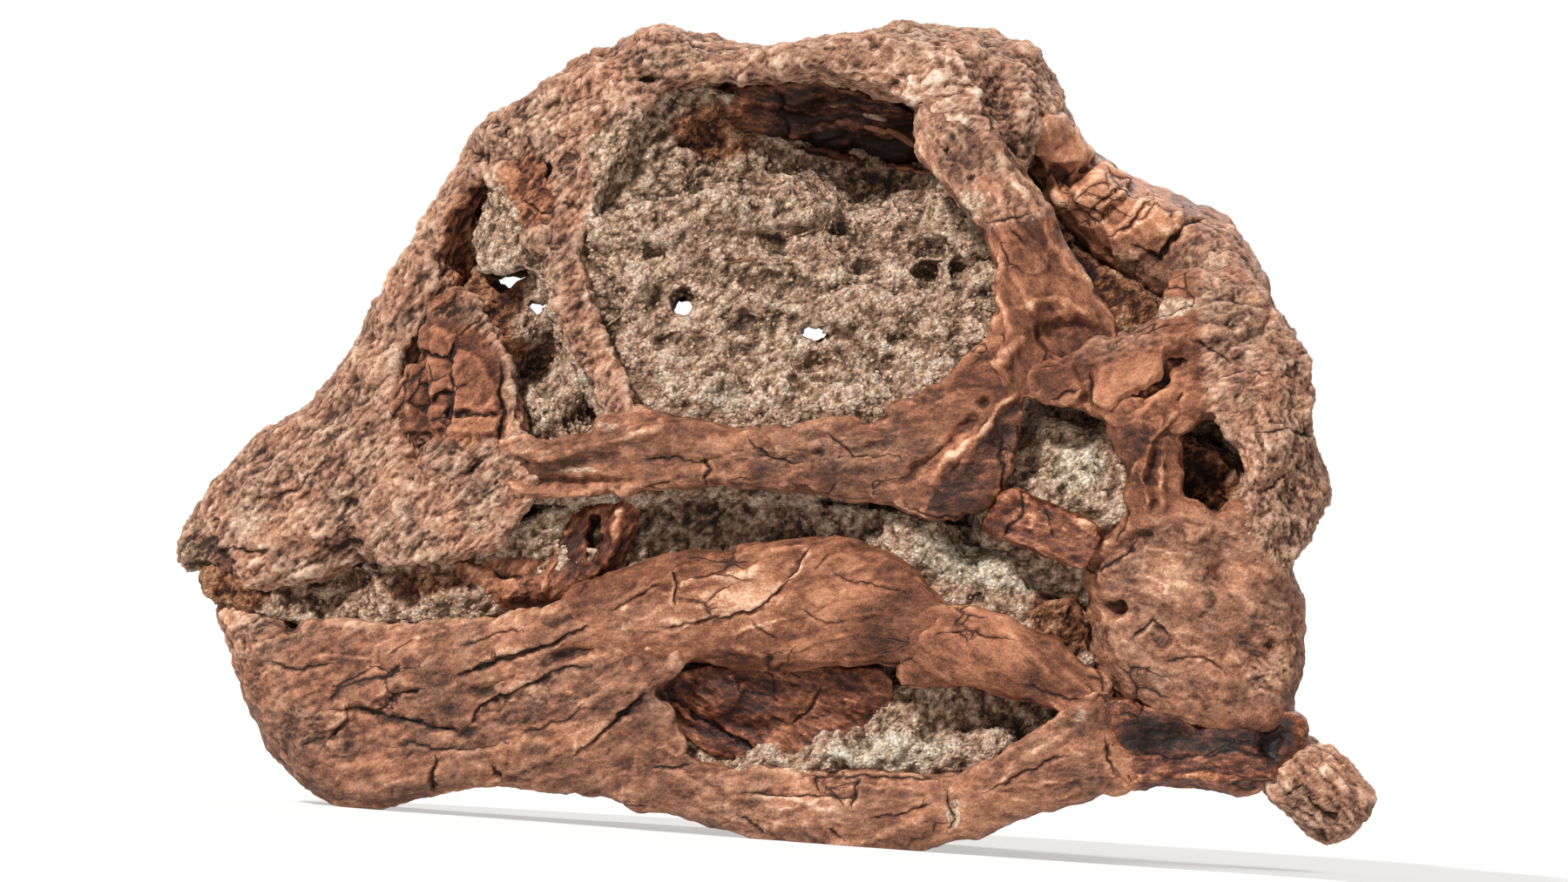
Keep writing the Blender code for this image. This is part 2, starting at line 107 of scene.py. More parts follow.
camera = placed("camera", bpy.data.cameras.new("camera"))
camera.data.sensor_width = SENSOR
camera.data.lens = SENSOR * CAMERA_DISTANCE / CHART_WIDTH
camera.data.clip_start, camera.data.clip_end = 0.05, 50.0
eye = place_of(CHART_WIDTH / 2, CHART_HEIGHT / 2, SIGHT_PLANE) - [0, CAMERA_DISTANCE, 0]
turn = Matrix(((COS, -SIN, 0), (0, 0, -1), (SIN, COS, 0)))
camera.matrix_world = Matrix.Translation(Vector(eye * MM)) @ turn.to_4x4()
scene.camera = camera
scene.view_settings.view_transform = "Standard"
print("lens", camera.data.lens, "mm, camera height", round(eye[2], 1), "mm")

# %% Nodes and colours
def add_node(tree, kind, inputs=None, stops=None, **settings):
    """Adds a node; inputs hold values or the sockets to link, stops the colours of a ramp."""
    node = tree.nodes.new(kind)
    for name, value in settings.items():
        setattr(node, name, value)
    for key, value in (inputs or {}).items():
        if isinstance(value, bpy.types.NodeSocket):
            tree.links.new(value, node.inputs[key])
        else:
            node.inputs[key].default_value = value
    for index, (position, tint) in enumerate(stops or []):
        ramp = node.color_ramp.elements
        stop = ramp[index] if index < 2 else ramp.new(position)
        stop.position, stop.color = position, tint
    return node


def colour(code):
    """An sRGB hex colour as the linear values that Blender calculates with."""
    channels = [int(code[i:i + 2], 16) / 255 for i in (1, 3, 5)]
    return (*[c / 12.92 if c <= 0.04045 else ((c + 0.055) / 1.055) ** 2.4 for c in channels], 1.0)


def grey(value):
    return (value, value, value, 1.0)


print("half grey in sRGB is, linear,", round(colour("#808080")[0], 3))

# %% Floor
FLOOR_RADIUS = 12.0  # metres, so that its edge is out of sight from any side
TABLE_GLOW = 0.5  # how strongly the light table shines
floor_mesh = bpy.data.meshes.new("floor")
bm = bmesh.new()
bmesh.ops.create_circle(bm, cap_ends=True, segments=96, radius=FLOOR_RADIUS)
bm.to_mesh(floor_mesh)
bm.free()
floor = placed("floor", floor_mesh)
opal = bpy.data.materials.new("opal_glass")  # a matt white plate that glows evenly
opal.use_nodes = True
opal_finish = opal.node_tree.nodes["Principled BSDF"].inputs
opal_finish["Base Color"].default_value = colour("#A6A6A5")
opal_finish["Roughness"].default_value = 0.95
opal_finish["Specular IOR Level"].default_value = 0.1
opal_finish["Emission Color"].default_value = colour("#FFFEFC")
opal_finish["Emission Strength"].default_value = TABLE_GLOW
floor_mesh.materials.append(opal)
print("table", 2 * FLOOR_RADIUS, "m wide, glow", TABLE_GLOW)

# %% Lamps and world
LAMPS = [  # name, place that it shines from, width in degrees, strength
    ("key_sun", (-0.64, -0.80, 0.94), 7.0, 5.2),
    ("front_sun", (0.35, -1.0, 0.12), 40.0, 0.45),
    ("back_sun", (0.5, 1.0, 0.9), 30.0, 2.6),
]
for name, place, width, strength in LAMPS:
    lamp = bpy.data.lights.new(name, "SUN")
    lamp.angle, lamp.energy = math.radians(width), strength
    placed(name, lamp).rotation_euler = (-Vector(place)).to_track_quat("-Z", "Y").to_euler()

SKY_SEEN, SKY_LIGHT = 1.0, 0.26  # how bright the world looks, and how much it lights
world = bpy.data.worlds.new("studio")
world.use_nodes = True
sky = world.node_tree
sky.nodes.clear()
seen = add_node(sky, "ShaderNodeLightPath").outputs["Is Camera Ray"]
strength = add_node(sky, "ShaderNodeMix", {0: seen, 2: SKY_LIGHT, 3: SKY_SEEN}).outputs[0]
light = add_node(sky, "ShaderNodeBackground", {"Color": grey(1.0), "Strength": strength})
add_node(sky, "ShaderNodeOutputWorld", {"Surface": light.outputs[0]})
scene.world = world
print("lamps", ", ".join(row[0] for row in LAMPS), "and a world of", SKY_LIGHT)

# %% [markdown]
# ## Random, but the same each time
# Stone needs randomness at every size. A random generator gives other values when its calls
# change places. Noise made from hashed whole numbers depends on the place alone, so every run
# gives the same skull, and no piece changes when another one does.

# %% Noise
HASH = np.array([73856093, 19349663, 83492791], np.int64)
MASK = 0xFFFFFFFF
SEED_SHIFT = 7.31  # cells between the noise of one seed and the next
LOUDNESS = 1.5  # brings the sum of the corners to about -1 to 1


def scramble(cells, seed):
    """A whole number from 0 to MASK for each row of whole numbers."""
    key = (cells @ HASH + seed * 40503) & MASK
    key = ((key ^ (key >> 16)) * 0x45D9F3B) & MASK
    key = ((key ^ (key >> 15)) * 0x2C1B3C6D) & MASK
    return key ^ (key >> 16)


def noise(points, size, seed=0):
    """Smooth random values from about -1 to 1 whose bumps are about size millimetres across."""
    scaled = points / size + seed * SEED_SHIFT
    cells = np.floor(scaled).astype(np.int64)
    part = scaled - cells
    fade = part ** 3 * (part * (part * 6 - 15) + 10)
    total = np.zeros(len(points))
    for corner in itertools.product((0, 1), repeat=3):
        key = scramble(cells + corner, seed)
        slope = np.stack([key & 1023, (key >> 10) & 1023, (key >> 20) & 1023], 1) / 511.5 - 1
        weight = np.where(corner, fade, 1 - fade).prod(1)
        total += weight * ((part - corner) * slope).sum(1)
    return total * LOUDNESS


def fractal(points, size, octaves, seed=0, rough=0.5, shape=lambda value: value):
    """Noise with finer and weaker noise on top. shape turns each layer, for instance to ridges."""
    total, strength = np.zeros(len(points)), 1.0
    for octave in range(octaves):
        total += strength * shape(noise(points, size, seed + octave))
        size, strength = size * 0.5, strength * rough
    return total


def billow(value):
    """Turns noise into round knobs with sharp clefts."""
    return np.abs(value) * 2 - 0.6


def ridged(value):
    """Turns noise into sharp crests with round valleys."""
    return 0.6 - np.abs(value) * 2


def cell_noise(points, size, seed=0):
    """For scattered centres: distance to the nearest, a signed gap to its border, and its value."""
    scaled = points / size
    cells = np.floor(scaled).astype(np.int64)
    first, second = np.full(len(points), 9.0), np.full(len(points), 9.0)
    value, other = np.zeros(len(points)), np.zeros(len(points))
    for step in itertools.product((-1, 0, 1), repeat=3):
        key = scramble(cells + step, seed)
        centre = np.stack([key & 1023, (key >> 10) & 1023, (key >> 20) & 1023], 1) / 1023
        gap = np.linalg.norm(cells + step + centre - scaled, axis=1)
        own = (key >> 8 & 4095) / 2047.5 - 1
        nearer = gap < first
        closer = ~nearer & (gap < second)
        other = np.where(nearer, value, np.where(closer, own, other))
        second = np.where(nearer, first, np.where(closer, gap, second))
        value, first = np.where(nearer, own, value), np.where(nearer, gap, first)
    return first * size, (second - first) / 2 * size * np.sign(value - other), value


def cell_borders(points, size, seed=0):
    """For scattered plates: distance to the border, the same signed, and the plate's value."""
    _, split, value = cell_noise(points, size, seed)
    return np.abs(split), split, value


print("noise along a line, mm:", noise(np.arange(15.0).reshape(5, 3), 2.0).round(2))

# %% [markdown]
# ## Meshes as lists of points
# A skull of a million corners is too big to move corner by corner. Each mesh is read into one
# table of points, the table is changed in one go, and is written back. Even quads come from a
# voxel remesh, which also closes what was open, and evaluated_mesh keeps what a modifier made.

# %% Mesh helpers
def smoothstep(low, high, value):
    """0 up to low, 1 from high on, and an even curve between."""
    part = np.clip((value - low) / (high - low), 0, 1)
    return part * part * (3 - 2 * part)


def merged_copy(node):
    """A closed copy of a CAD node's loose triangles, as a new mesh."""
    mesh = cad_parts[node].data.copy()
    bm = bmesh.new()
    bm.from_mesh(mesh)
    bmesh.ops.remove_doubles(bm, verts=bm.verts, dist=1e-6)
    bm.to_mesh(mesh)
    bm.free()
    return mesh


def evaluated_mesh(thing):
    """A plain mesh of the object as its modifiers leave it."""
    graph = bpy.context.evaluated_depsgraph_get()
    return bpy.data.meshes.new_from_object(thing.evaluated_get(graph))


def remeshed(mesh, voxel):
    """The mesh made again from even quads, voxel millimetres wide."""
    carrier = placed("remesh", mesh)
    modifier = carrier.modifiers.new("voxels", "REMESH")
    modifier.mode, modifier.voxel_size = "VOXEL", voxel * MM
    fresh = evaluated_mesh(carrier)
    bpy.data.objects.remove(carrier)
    bpy.data.meshes.remove(mesh)
    return fresh


def points_of(mesh):
    """The mesh's corners in millimetres, one row for each."""
    points = np.empty(len(mesh.vertices) * 3, np.float32)
    mesh.vertices.foreach_get("co", points)
    return points.reshape(-1, 3).astype(float) / MM


def normals_of(mesh):
    normals = np.empty(len(mesh.vertices) * 3, np.float32)
    mesh.vertex_normals.foreach_get("vector", normals)
    return normals.reshape(-1, 3).astype(float)


def edges_of(mesh):
    edges = np.empty(len(mesh.edges) * 2, np.int32)
    mesh.edges.foreach_get("vertices", edges)
    return edges.reshape(-1, 2)


def set_points(mesh, points):
    mesh.vertices.foreach_set("co", (points * MM).astype(np.float32).ravel())
    mesh.update()


def relaxed(points, edges, rounds):
    """The points after sliding that many times halfway to the mean of their neighbours."""
    ends = np.concatenate([edges[:, 0], edges[:, 1]])
    others = np.concatenate([edges[:, 1], edges[:, 0]])
    count = np.bincount(ends, minlength=len(points))
    for _ in range(rounds):
        sums = [np.bincount(ends, points[others, axis], len(points)) for axis in range(3)]
        points = (points + np.stack(sums, 1) / count[:, None]) / 2
    return points


print("smoothstep at a quarter", smoothstep(0, 1, 0.25))

# %% [markdown]
# ## Marks on the chart
# Every ledge, crack, hole and stain of the fossil was left by one break, root or needle, so each
# is drawn on its own. They could be sculpted, but a sculpted mark can't be moved or repeated.
# Here each is a small function of the chart, which gives millimetres of relief, or a share of a
# stain, at every place, and a bone's list of them is added up.

# %% Marks
def line_gap(along, down, line):
    """Distance to a drawn line, +1 below or right of its direction, and the share along it."""
    best, side, share = np.full(len(along), 1e9), np.ones(len(along)), np.zeros(len(along))
    for index, ((a0, d0), (a1, d1)) in enumerate(zip(line, line[1:])):
        run, drop = a1 - a0, d1 - d0
        part = ((along - a0) * run + (down - d0) * drop) / (run * run + drop * drop)
        part = np.clip(part, 0, 1)
        out_a, out_d = along - a0 - part * run, down - d0 - part * drop
        gap = np.hypot(out_a, out_d)
        nearer = gap < best
        best = np.where(nearer, gap, best)
        side = np.where(nearer, np.sign(run * out_d - drop * out_a), side)
        share = np.where(nearer, (index + part) / (len(line) - 1), share)
    return best, side, share


def tapering(share):
    """Fades a drawn line out at both ends."""
    return smoothstep(-0.02, 0.15, share) * smoothstep(1.02, 0.85, share)


def ridge(height, width, *line):
    """A rounded ridge along a line, or a groove where height is negative."""
    def mark(along, down):
        gap, _, share = line_gap(along, down, line)
        return height * np.exp(-(gap / width) ** 2) * tapering(share)
    return mark


def ledge(height, reach, *line):
    """A broken edge: below or right of the line's direction the surface stands higher."""
    def mark(along, down):
        gap, side, share = line_gap(along, down, line)
        step = smoothstep(-0.18, 0.18, gap * side)
        return height * step * np.exp(-gap / reach) * tapering(share)
    return mark


def plate(height, edge, *outline):
    """A flat patch with this outline that stands proud, or lies deeper where negative."""
    def mark(along, down):
        inside = np.zeros(len(along), bool)
        for (a0, d0), (a1, d1) in zip(outline, outline[1:] + outline[:1]):
            crosses = (d0 > down) != (d1 > down)
            inside ^= crosses & (along < (a1 - a0) * (down - d0) / ((d1 - d0) or 1e-9) + a0)
        gap = line_gap(along, down, outline + outline[:1])[0]
        return height * smoothstep(-edge / 2, edge / 2, np.where(inside, gap, -gap))
    return mark


def mound(height, place, across, tall, turn=0.0, edge=0.0):
    """A round rise, or a hollow where negative; edge near 1 gives it steep walls."""
    def mark(along, down):
        cos, sin = math.cos(math.radians(turn)), math.sin(math.radians(turn))
        right, low = along - place[0], down - place[1]
        reach = np.hypot((right * cos + low * sin) / across, (low * cos - right * sin) / tall)
        return height * smoothstep(1.0, edge, reach)
    return mark


def added(marks, along, down):
    """The sum of a list of marks at these chart places."""
    total = np.zeros(len(along))
    for mark in marks:
        total += mark(along, down)
    return total


def levels(*spots):
    """Depth between measured spots (along, down, depth), each weighing less with distance."""
    def surface(along, down):
        weights, total = np.zeros(len(along)), np.zeros(len(along))
        for a0, d0, depth in spots:
            weight = 1 / (1 + ((along - a0) ** 2 + (down - d0) ** 2) / 4) ** 2
            weights, total = weights + weight, total + weight * depth
        return total / weights
    return surface


middle_and_rim = np.array([0.0, 4.0])
print("a mound of 2 mm, middle and rim:", mound(2, (0, 0), 4, 4)(middle_and_rim, np.zeros(2)))

# %% [markdown]
# ## The skull's side as one surface
# On the fossil neighbouring bones lie flush, as in life. The solids have rounded edges, so each
# bone is drawn out to the skull's common side surface, by a share of its own. A few tables of
# the skull's half widths are enough for that surface: at its roof, its cheeks and its jaw.

# %% Side surface
# along the chart: half widths and heights in millimetres
CHEEK_HALF = [(20, 3), (26, 6.5), (35, 10), (55, 15), (70, 19), (90, 23.5), (115, 27.5), (130, 29),
    (145, 28), (152, 24)]
ROOF_HALF = [(20, 2), (40, 5.5), (60, 10), (75, 13.5), (100, 17), (115, 18), (125, 14), (140, 17),
    (150, 14)]
JAW_HALF = [(24, 4.5), (30, 8), (40, 11.5), (55, 14.5), (70, 17), (95, 21), (120, 25), (140, 26.5),
    (156, 26)]
ROOF_TOP = [(20, 39), (40, 60), (50, 78), (60, 89), (75, 97), (115, 96), (126, 84), (142, 78),
    (156, 72)]
WIDEST = [(20, 35), (40, 41), (60, 46), (156, 46)]
JAW_FOOT = 5.0


def table_at(table, value):
    """What a table of (place, value) rows gives between its rows."""
    return np.interp(value, [row[0] for row in table], [row[1] for row in table])


def side_depth(along, down):
    """Distance of the skull's side from its middle plane at these chart places."""
    height = CHART_HEIGHT - down
    cheek, level = table_at(CHEEK_HALF, along), table_at(WIDEST, along)
    rise = (height - level) / np.maximum(1.0, table_at(ROOF_TOP, along) - level)
    fall = (level - height) / (level - JAW_FOOT)
    above = cheek + (table_at(ROOF_HALF, along) - cheek) * np.clip(rise, 0, 1) ** 1.6
    below = cheek + (table_at(JAW_HALF, along) - cheek) * np.clip(fall, 0, 1)
    return np.where(height > level, above, below)


print("half width at the cheek, mm:", side_depth(np.array([115.0]), np.array([60.0])).round(1))

# %% [markdown]
# ## Bones of the snout
# The beak bones are spongy and were covered in horn, so they have no smooth skin: the surface
# is all grains, pits and short ridges. Noise gives those. What makes one bone differ from the
# next is drawn as a list of marks at chart places.

# %% How a bone is described
BONES = {}


def describe(bone, finish, **look):
    """Notes a bone's finish and marks. flow turns its grain by that many degrees and stretch
    squeezes it, flush brings its side to the skull's surface, face to measured depths. forms
    are relief in millimetres, and cracks are rows of half width, depth and the line."""
    BONES[bone] = dict(finish=finish, **look)
    print(bone, {kind: len(marks) for kind, marks in look.items() if isinstance(marks, list)})

# %% Premaxilla
# the beak's tip, with the nostril's small pit and a stained edge
describe("premaxilla", "rough_fossil_bone", flush=0.8, flow=-35, stretch=2.2,
    forms=[
        mound(-1.2, (24.5, 60.2), 0.75, 0.85, edge=0.6), mound(0.5, (24.5, 60.2), 1.6, 1.7),
        mound(0.9, (30, 55.5), 5, 3.5, -35), mound(0.8, (36, 60.5), 5, 3),
        mound(-1.0, (33.4, 54.4), 2.2, 1.2, -40),
        ridge(0.9, 1.1, (27, 65.8), (31, 66.8), (36, 65.6), (43, 63.4)),
        ridge(-0.9, 0.7, (25.5, 64.5), (27.5, 63.2), (31.5, 63.8)),
        mound(-0.7, (37.5, 62.2), 1.8, 1.1), ledge(0.6, 3, (38.5, 48), (37, 53), (33.5, 58)),
        ledge(0.5, 2.5, (43, 47), (42, 53), (39.5, 58)), mound(-0.8, (40.5, 58.3), 1.5, 1.0, 30)],
    cracks=[
        (0.25, 0.7, (31.5, 57.2), (34, 56), (36, 54.2)),
        (0.2, 0.5, (25.4, 63.4), (27, 62.8), (29.2, 63.4))],
    tones=[
        plate(-1.0, 0.8, (18, 62.8), (22.5, 61.3), (25.5, 62), (27.2, 64.4), (26, 70), (18, 70)),
        mound(0.5, (28, 60.5), 4, 3), mound(-0.35, (38, 63), 5, 2)],
    sand=[
        mound(0.55, (28.5, 59.5), 6, 4.5), mound(0.9, (22.5, 64), 4, 2.4, 30, edge=0.4),
        mound(0.4, (33, 64.5), 6, 2.5), mound(0.3, (34, 54.5), 4, 3)])

# %% Maxilla
# the side of the snout, broken into red plates in front of the opening
describe("maxilla", "rough_fossil_bone", flush=0.8, flow=-40, stretch=2.2,
    wear=[plate(-0.85, 0.8, (47, 36), (54, 37), (58, 42), (58, 50.5), (45, 50), (45, 42))],
    pulls=[(-1.5, -5.0, mound(1, (52, 37), 7, 5))], shatter=[mound(0.3, (52, 44), 8, 8, edge=0.4)],
    forms=[
        plate(0.9, 0.35, (52.9, 39.5), (55.6, 41.4), (56.9, 44.7), (57, 47.2), (51.8, 47.4),
            (51.7, 42.6)),
        plate(0.8, 0.3, (49.1, 40.9), (51.5, 41.6), (51.4, 44.7), (49.3, 46)),
        plate(0.7, 0.3, (49.9, 37.8), (52.5, 38.4), (51.6, 41.1), (49.9, 40.3)),
        plate(0.5, 0.3, (47.6, 37.2), (49.6, 37.8), (49.6, 40), (47.8, 40.1)),
        plate(0.8, 0.35, (49.1, 46.6), (51.2, 46.6), (51.2, 49.4), (49.3, 49.4)),
        plate(0.9, 0.35, (51.6, 47.8), (57.2, 47.8), (57.3, 49.8), (51.7, 50)),
        plate(0.9, 0.4, (46.7, 42), (47.4, 42), (47.2, 48), (45.6, 48), (45, 46)),
        ridge(-1.3, 0.7, (48.7, 40), (48.6, 44.5), (48.4, 49.5)),
        ridge(-2.2, 1.1, (48.2, 49.6), (47, 52.5), (46.4, 56)), mound(-1.2, (49, 50.2), 1.4, 1.0),
        mound(0.9, (50.5, 53), 3.2, 2), mound(0.7, (54.5, 56.5), 3, 2.5),
        ridge(-0.5, 0.5, (53, 55), (56, 52.4), (57.6, 51.4)),
        ledge(0.6, 2.5, (45, 58.5), (50, 59.5), (57, 57.5)),
        ridge(0.9, 0.9, (44.5, 63.8), (50, 63.6), (56, 62.2), (60, 58.5))],
    cracks=[
        (0.22, 0.8, (52.3, 38.3), (51.7, 41.5), (51.5, 45), (51.4, 50)),
        (0.2, 0.6, (51.6, 47.5), (54, 47.6), (57.2, 47.5)),
        (0.2, 0.7, (47.8, 40.2), (49.8, 40.5), (51.6, 41.4)),
        (0.2, 0.6, (49.2, 46.4), (51.4, 44.8)), (0.3, 1.0, (57.4, 42), (57.6, 46), (57.5, 52)),
        (0.2, 0.6, (53.4, 54.6), (56, 52.6)), (0.2, 0.6, (45, 49), (46.2, 46), (46.6, 42)),
        (0.2, 0.5, (52.5, 38.6), (54.5, 37), (55.5, 36))],
    tones=[
        mound(-0.5, (48, 50), 3, 6), mound(-0.35, (52, 43), 8, 8, edge=0.5),
        mound(-0.5, (51, 34), 5, 4, edge=0.3), mound(0.2, (50, 60), 8, 5)],
    sand=[mound(0.5, (55, 60.5), 5, 2.5), mound(0.3, (47, 60), 4, 4)],
    warm=[mound(0.8, (52.5, 44), 6, 9, edge=0.5), mound(0.5, (51, 34), 4, 4)])

# %% Nasal
# the snout's ridge, with the hollow that leads to the nostril
describe("nasal", "rough_fossil_bone", flush=0.35, flow=-62, stretch=1.8,
    forms=[
        plate(-2.4, 0.9, (55.5, 20.5), (58.8, 24.5), (59.2, 29), (56, 31.8), (50.6, 32),
            (49.8, 29.4), (52.4, 24.4)),
        ridge(1.2, 1.3, (52.5, 21), (49, 28), (45.5, 34), (43.5, 39)),
        mound(1.4, (57.5, 16), 3.5, 3), mound(-1.5, (58.6, 15.6), 0.8, 1.2, edge=0.4),
        mound(1.2, (63, 11), 4, 2.5, -30), mound(-1.2, (60.4, 18.5), 1.2, 0.8),
        mound(0.8, (54.7, 19.5), 1.6, 1.2), ledge(0.7, 2, (52, 33.5), (48, 38), (45, 43)),
        mound(-0.9, (46.4, 41.5), 1.2, 1.8, 20), mound(-0.9, (50.6, 31.6), 1.5, 1.0)],
    cracks=[
        (0.3, 0.8, (51.6, 32.4), (49.5, 35), (48.4, 37.2)),
        (0.2, 0.6, (54, 17.4), (56, 18.2), (57, 20))],
    tones=[
        plate(-0.55, 0.8, (54.5, 20.5), (58.8, 24.5), (59.4, 29), (57, 33), (50.6, 33),
            (49.8, 29.4), (52.4, 23.4)),
        mound(0.2, (58, 13), 5, 3), mound(-0.2, (74, 10), 16, 8, edge=0.7)],
    warm=[mound(0.7, (54.5, 28), 5, 9, edge=0.4)],
    sand=[mound(0.35, (58, 12), 8, 4), mound(0.3, (48, 33), 4, 6)])

# %% Lacrimal
# the bar between snout and eye, a stack of lumps and pits
describe("lacrimal", "rough_fossil_bone", flush=0.5, flow=-50, stretch=1.8,
    pulls=[(-2.2, 0, mound(1, (59.5, 21), 3.4, 6))],
    forms=[
        mound(1.3, (58.5, 20.5), 2.6, 3.2, -30), mound(-2.0, (62.8, 19.2), 0.9, 1.3, edge=0.3),
        mound(0.9, (63, 21.2), 1.3, 1.3),
        plate(1.0, 0.4, (60.4, 26.2), (63, 26.6), (63.4, 29.2), (61.5, 28.8), (60.2, 27.6)),
        mound(1.3, (66, 14), 4.5, 2.2, -25), mound(-1.0, (65.5, 18), 2, 1.4),
        mound(1.0, (61.5, 15.6), 2.4, 1.8), mound(-1.2, (65.6, 23.5), 1.6, 1.0, 40),
        mound(-1.6, (72.9, 12.3), 0.9, 0.7, edge=0.4),
        ridge(0.9, 0.8, (64.6, 33.5), (65.6, 38), (66.6, 43)), mound(-0.8, (69.5, 20), 3.5, 5)],
    cracks=[
        (0.25, 0.7, (62.6, 18.2), (62.9, 20.6)), (0.2, 0.6, (60.2, 23), (62, 24.6), (63.6, 24)),
        (0.2, 0.7, (65.9, 40.6), (67.4, 41))],
    tones=[
        mound(-0.35, (61.5, 20), 3.5, 4), mound(0.2, (65, 14.5), 5, 2.5),
        # painted shade: the dark tone on the wall at the eye opening's upper left
        mound(-0.45, (72, 19), 6, 6, edge=0.5), mound(-0.3, (66, 39), 1.5, 5)],
    sand=[
        plate(0.9, 1.0, (67, 16), (75, 11), (78, 20), (70, 27), (66.5, 27.5), (68, 22)),
        mound(0.4, (62, 12), 5, 2)],
    warm=[mound(0.8, (60.5, 22), 4, 6, edge=0.4)])

# %% [markdown]
# ## The roof and the rear slope
# The roof is thick, grainy bone with a raised rim over the eye. Behind it the braincase roof has
# broken into orange plates with wide dark joints, like dried mud.

# %% Frontal
# the roof over the eye, with two small rings where the rim was chipped
describe("frontal", "rough_fossil_bone", flush=0.5, flow=0, stretch=1.6,
    pulls=[(2.0, 7.0, mound(1, (113, 14), 8, 7))],
    forms=[
        mound(1.5, (76, 5), 4, 3), mound(-1.6, (74.8, 9), 2, 0.9, 10, edge=0.4),
        mound(-0.9, (80.8, 6.6), 1.6, 1.0),
        plate(0.9, 0.3, (84.4, 8.3), (85.8, 8.4), (85.6, 10.4), (84.6, 10.6)),
        ledge(0.9, 3, (118, 17.5), (112, 14.8), (106, 12), (100, 9.4), (94, 7.6), (88, 7.4)),
        ridge(0.45, 0.35, (102.2, 9.4), (103.2, 8), (104.8, 8.2), (105.2, 9.6), (104.2, 10.9),
            (102.8, 10.7), (102.2, 9.4)),
        ridge(0.45, 0.35, (106, 8.2), (107, 6.7), (108.6, 7), (108.8, 8.6), (107.6, 9.6),
            (106.4, 9.4), (106, 8.2)),
        ridge(0.8, 0.7, (108, 4.6), (110.6, 8.1), (112, 11.9), (112.6, 15.4), (115, 18.8)),
        mound(-1.6, (115, 11), 2.6, 5, -20), mound(1.0, (118, 6), 3, 2.5),
        mound(-0.7, (113.4, 6), 1.4, 1.2), mound(0.7, (98, 5.2), 5, 2)],
    cracks=[(0.2, 0.6, (105, 12.2), (107, 11.2), (110, 10.8)), (0.2, 0.5, (110.2, 10), (112, 9.8))],
    tones=[
        mound(0.5, (106, 12), 11, 9, edge=0.4), mound(-0.5, (115, 13), 2.4, 7, -20),
        mound(-0.35, (74, 8), 9, 5)],
    sand=[mound(0.5, (78, 7), 10, 4), mound(0.35, (90, 5.6), 10, 2), mound(0.35, (117, 8), 4, 4)])

# %% Orbit roof
# the roof's smooth underside, seen through the eye opening: stained dark bone, darkened further
# with painted shade under the rim
describe("orbit_roof", "dark_fossil_bone", lap=0, flush=1.0, flow=14, stretch=5.0,
    face=levels(
        (84, 11, 9), (92, 9.5, 10.5), (103, 11, 11), (86, 15, 6.5), (95, 15.5, 5), (103, 17, 4),
        (84, 18, 3), (92, 19, 1.5), (100, 20, 1), (106, 20, 2)),
    forms=[
        ridge(1.0, 0.5, (86, 12.5), (94, 11.5), (101, 13.5)),
        ridge(-1.0, 0.6, (88, 10.8), (96, 10.4), (102, 12.2)),
        ridge(0.8, 0.4, (90, 15), (97, 14), (104, 15.5)),
        ridge(-0.9, 0.5, (90, 13.6), (98, 12.8), (104, 14.4)),
        mound(-1.0, (89.3, 11.6), 0.8, 2.4, -20), mound(1.0, (91.5, 15), 2, 1.6)],
    cracks=[
        (0.3, 0.8, (88.4, 9.8), (89.8, 12.6), (90.6, 15.4)),
        (0.25, 0.6, (91, 17.2), (96, 16), (102, 14.6)),
        (0.25, 0.6, (93, 12), (98, 11.4), (103, 13.2))],
    # painted shade: the tone that darkens the underside beneath the rim
    tones=[mound(-0.95, (98, 14), 14, 8, edge=0.5)], warm=[mound(0.2, (92, 12), 9, 5, edge=0.5)],
    sand=[mound(0.6, (82, 12), 5, 5)])

# %% Parietal
# the rear slope: orange plates with wide dark joints
describe("parietal", "fossil_bone", flush=0.45, flow=35, stretch=1.3,
    pulls=[(0, 2.0, mound(1, (134, 31), 7, 4))],
    wear=[mound(0.8, (140, 31), 7, 8, edge=0.5), mound(0.7, (131, 31), 6, 3, 35)],
    shatter=[mound(0.35, (126, 20), 12, 10, 35, edge=0.4)],
    forms=[
        plate(0.9, 0.35, (119.6, 13.2), (122, 13.4), (125.4, 17.6), (124.6, 19), (121.5, 18.8),
            (118.4, 17)),
        plate(0.9, 0.35, (123, 21.6), (125.9, 18.8), (129.6, 20.6), (129.2, 23), (126.2, 24.6),
            (124, 24)),
        plate(0.8, 0.35, (119.5, 21.4), (122.5, 21.6), (122.8, 24.2), (120, 24.7)),
        plate(0.8, 0.4, (127, 27), (132, 22.6), (136, 24.4), (133.4, 29), (129, 30)),
        ridge(-1.8, 0.9, (120.2, 19), (123.2, 21.1), (125.8, 18.4)),
        mound(-1.6, (118.4, 20), 2, 4, -25), mound(0.8, (139, 31), 3.5, 4),
        mound(-0.8, (136, 33.5), 2, 2), mound(0.7, (142.5, 34), 2, 4)],
    cracks=[
        (0.3, 1.0, (127, 27.3), (130, 25.5), (132.4, 22.6)),
        (0.3, 1.0, (132.6, 30.5), (134.5, 27.7), (136.8, 25.6), (138.8, 25)),
        (0.2, 0.7, (125.2, 24.5), (126.8, 22.9), (129.2, 21.2)),
        (0.2, 0.6, (120.1, 25.1), (122.7, 23.8)),
        (0.15, 0.5, (124.2, 22.2), (126, 22.6), (128.6, 23.4)),
        (0.2, 0.6, (130.5, 28.3), (133, 29.5))],
    tones=[
        mound(0.45, (126, 21), 12, 9, 35, edge=0.6), mound(-0.8, (118, 20), 2.4, 7, -20),
        mound(-0.7, (122.5, 20.4), 3, 1.2)],
    sand=[mound(0.6, (140, 31.5), 5.5, 6.5), mound(0.5, (130, 30.5), 4, 2)],
    warm=[mound(0.75, (126, 20), 10, 8, 35, edge=0.5)])

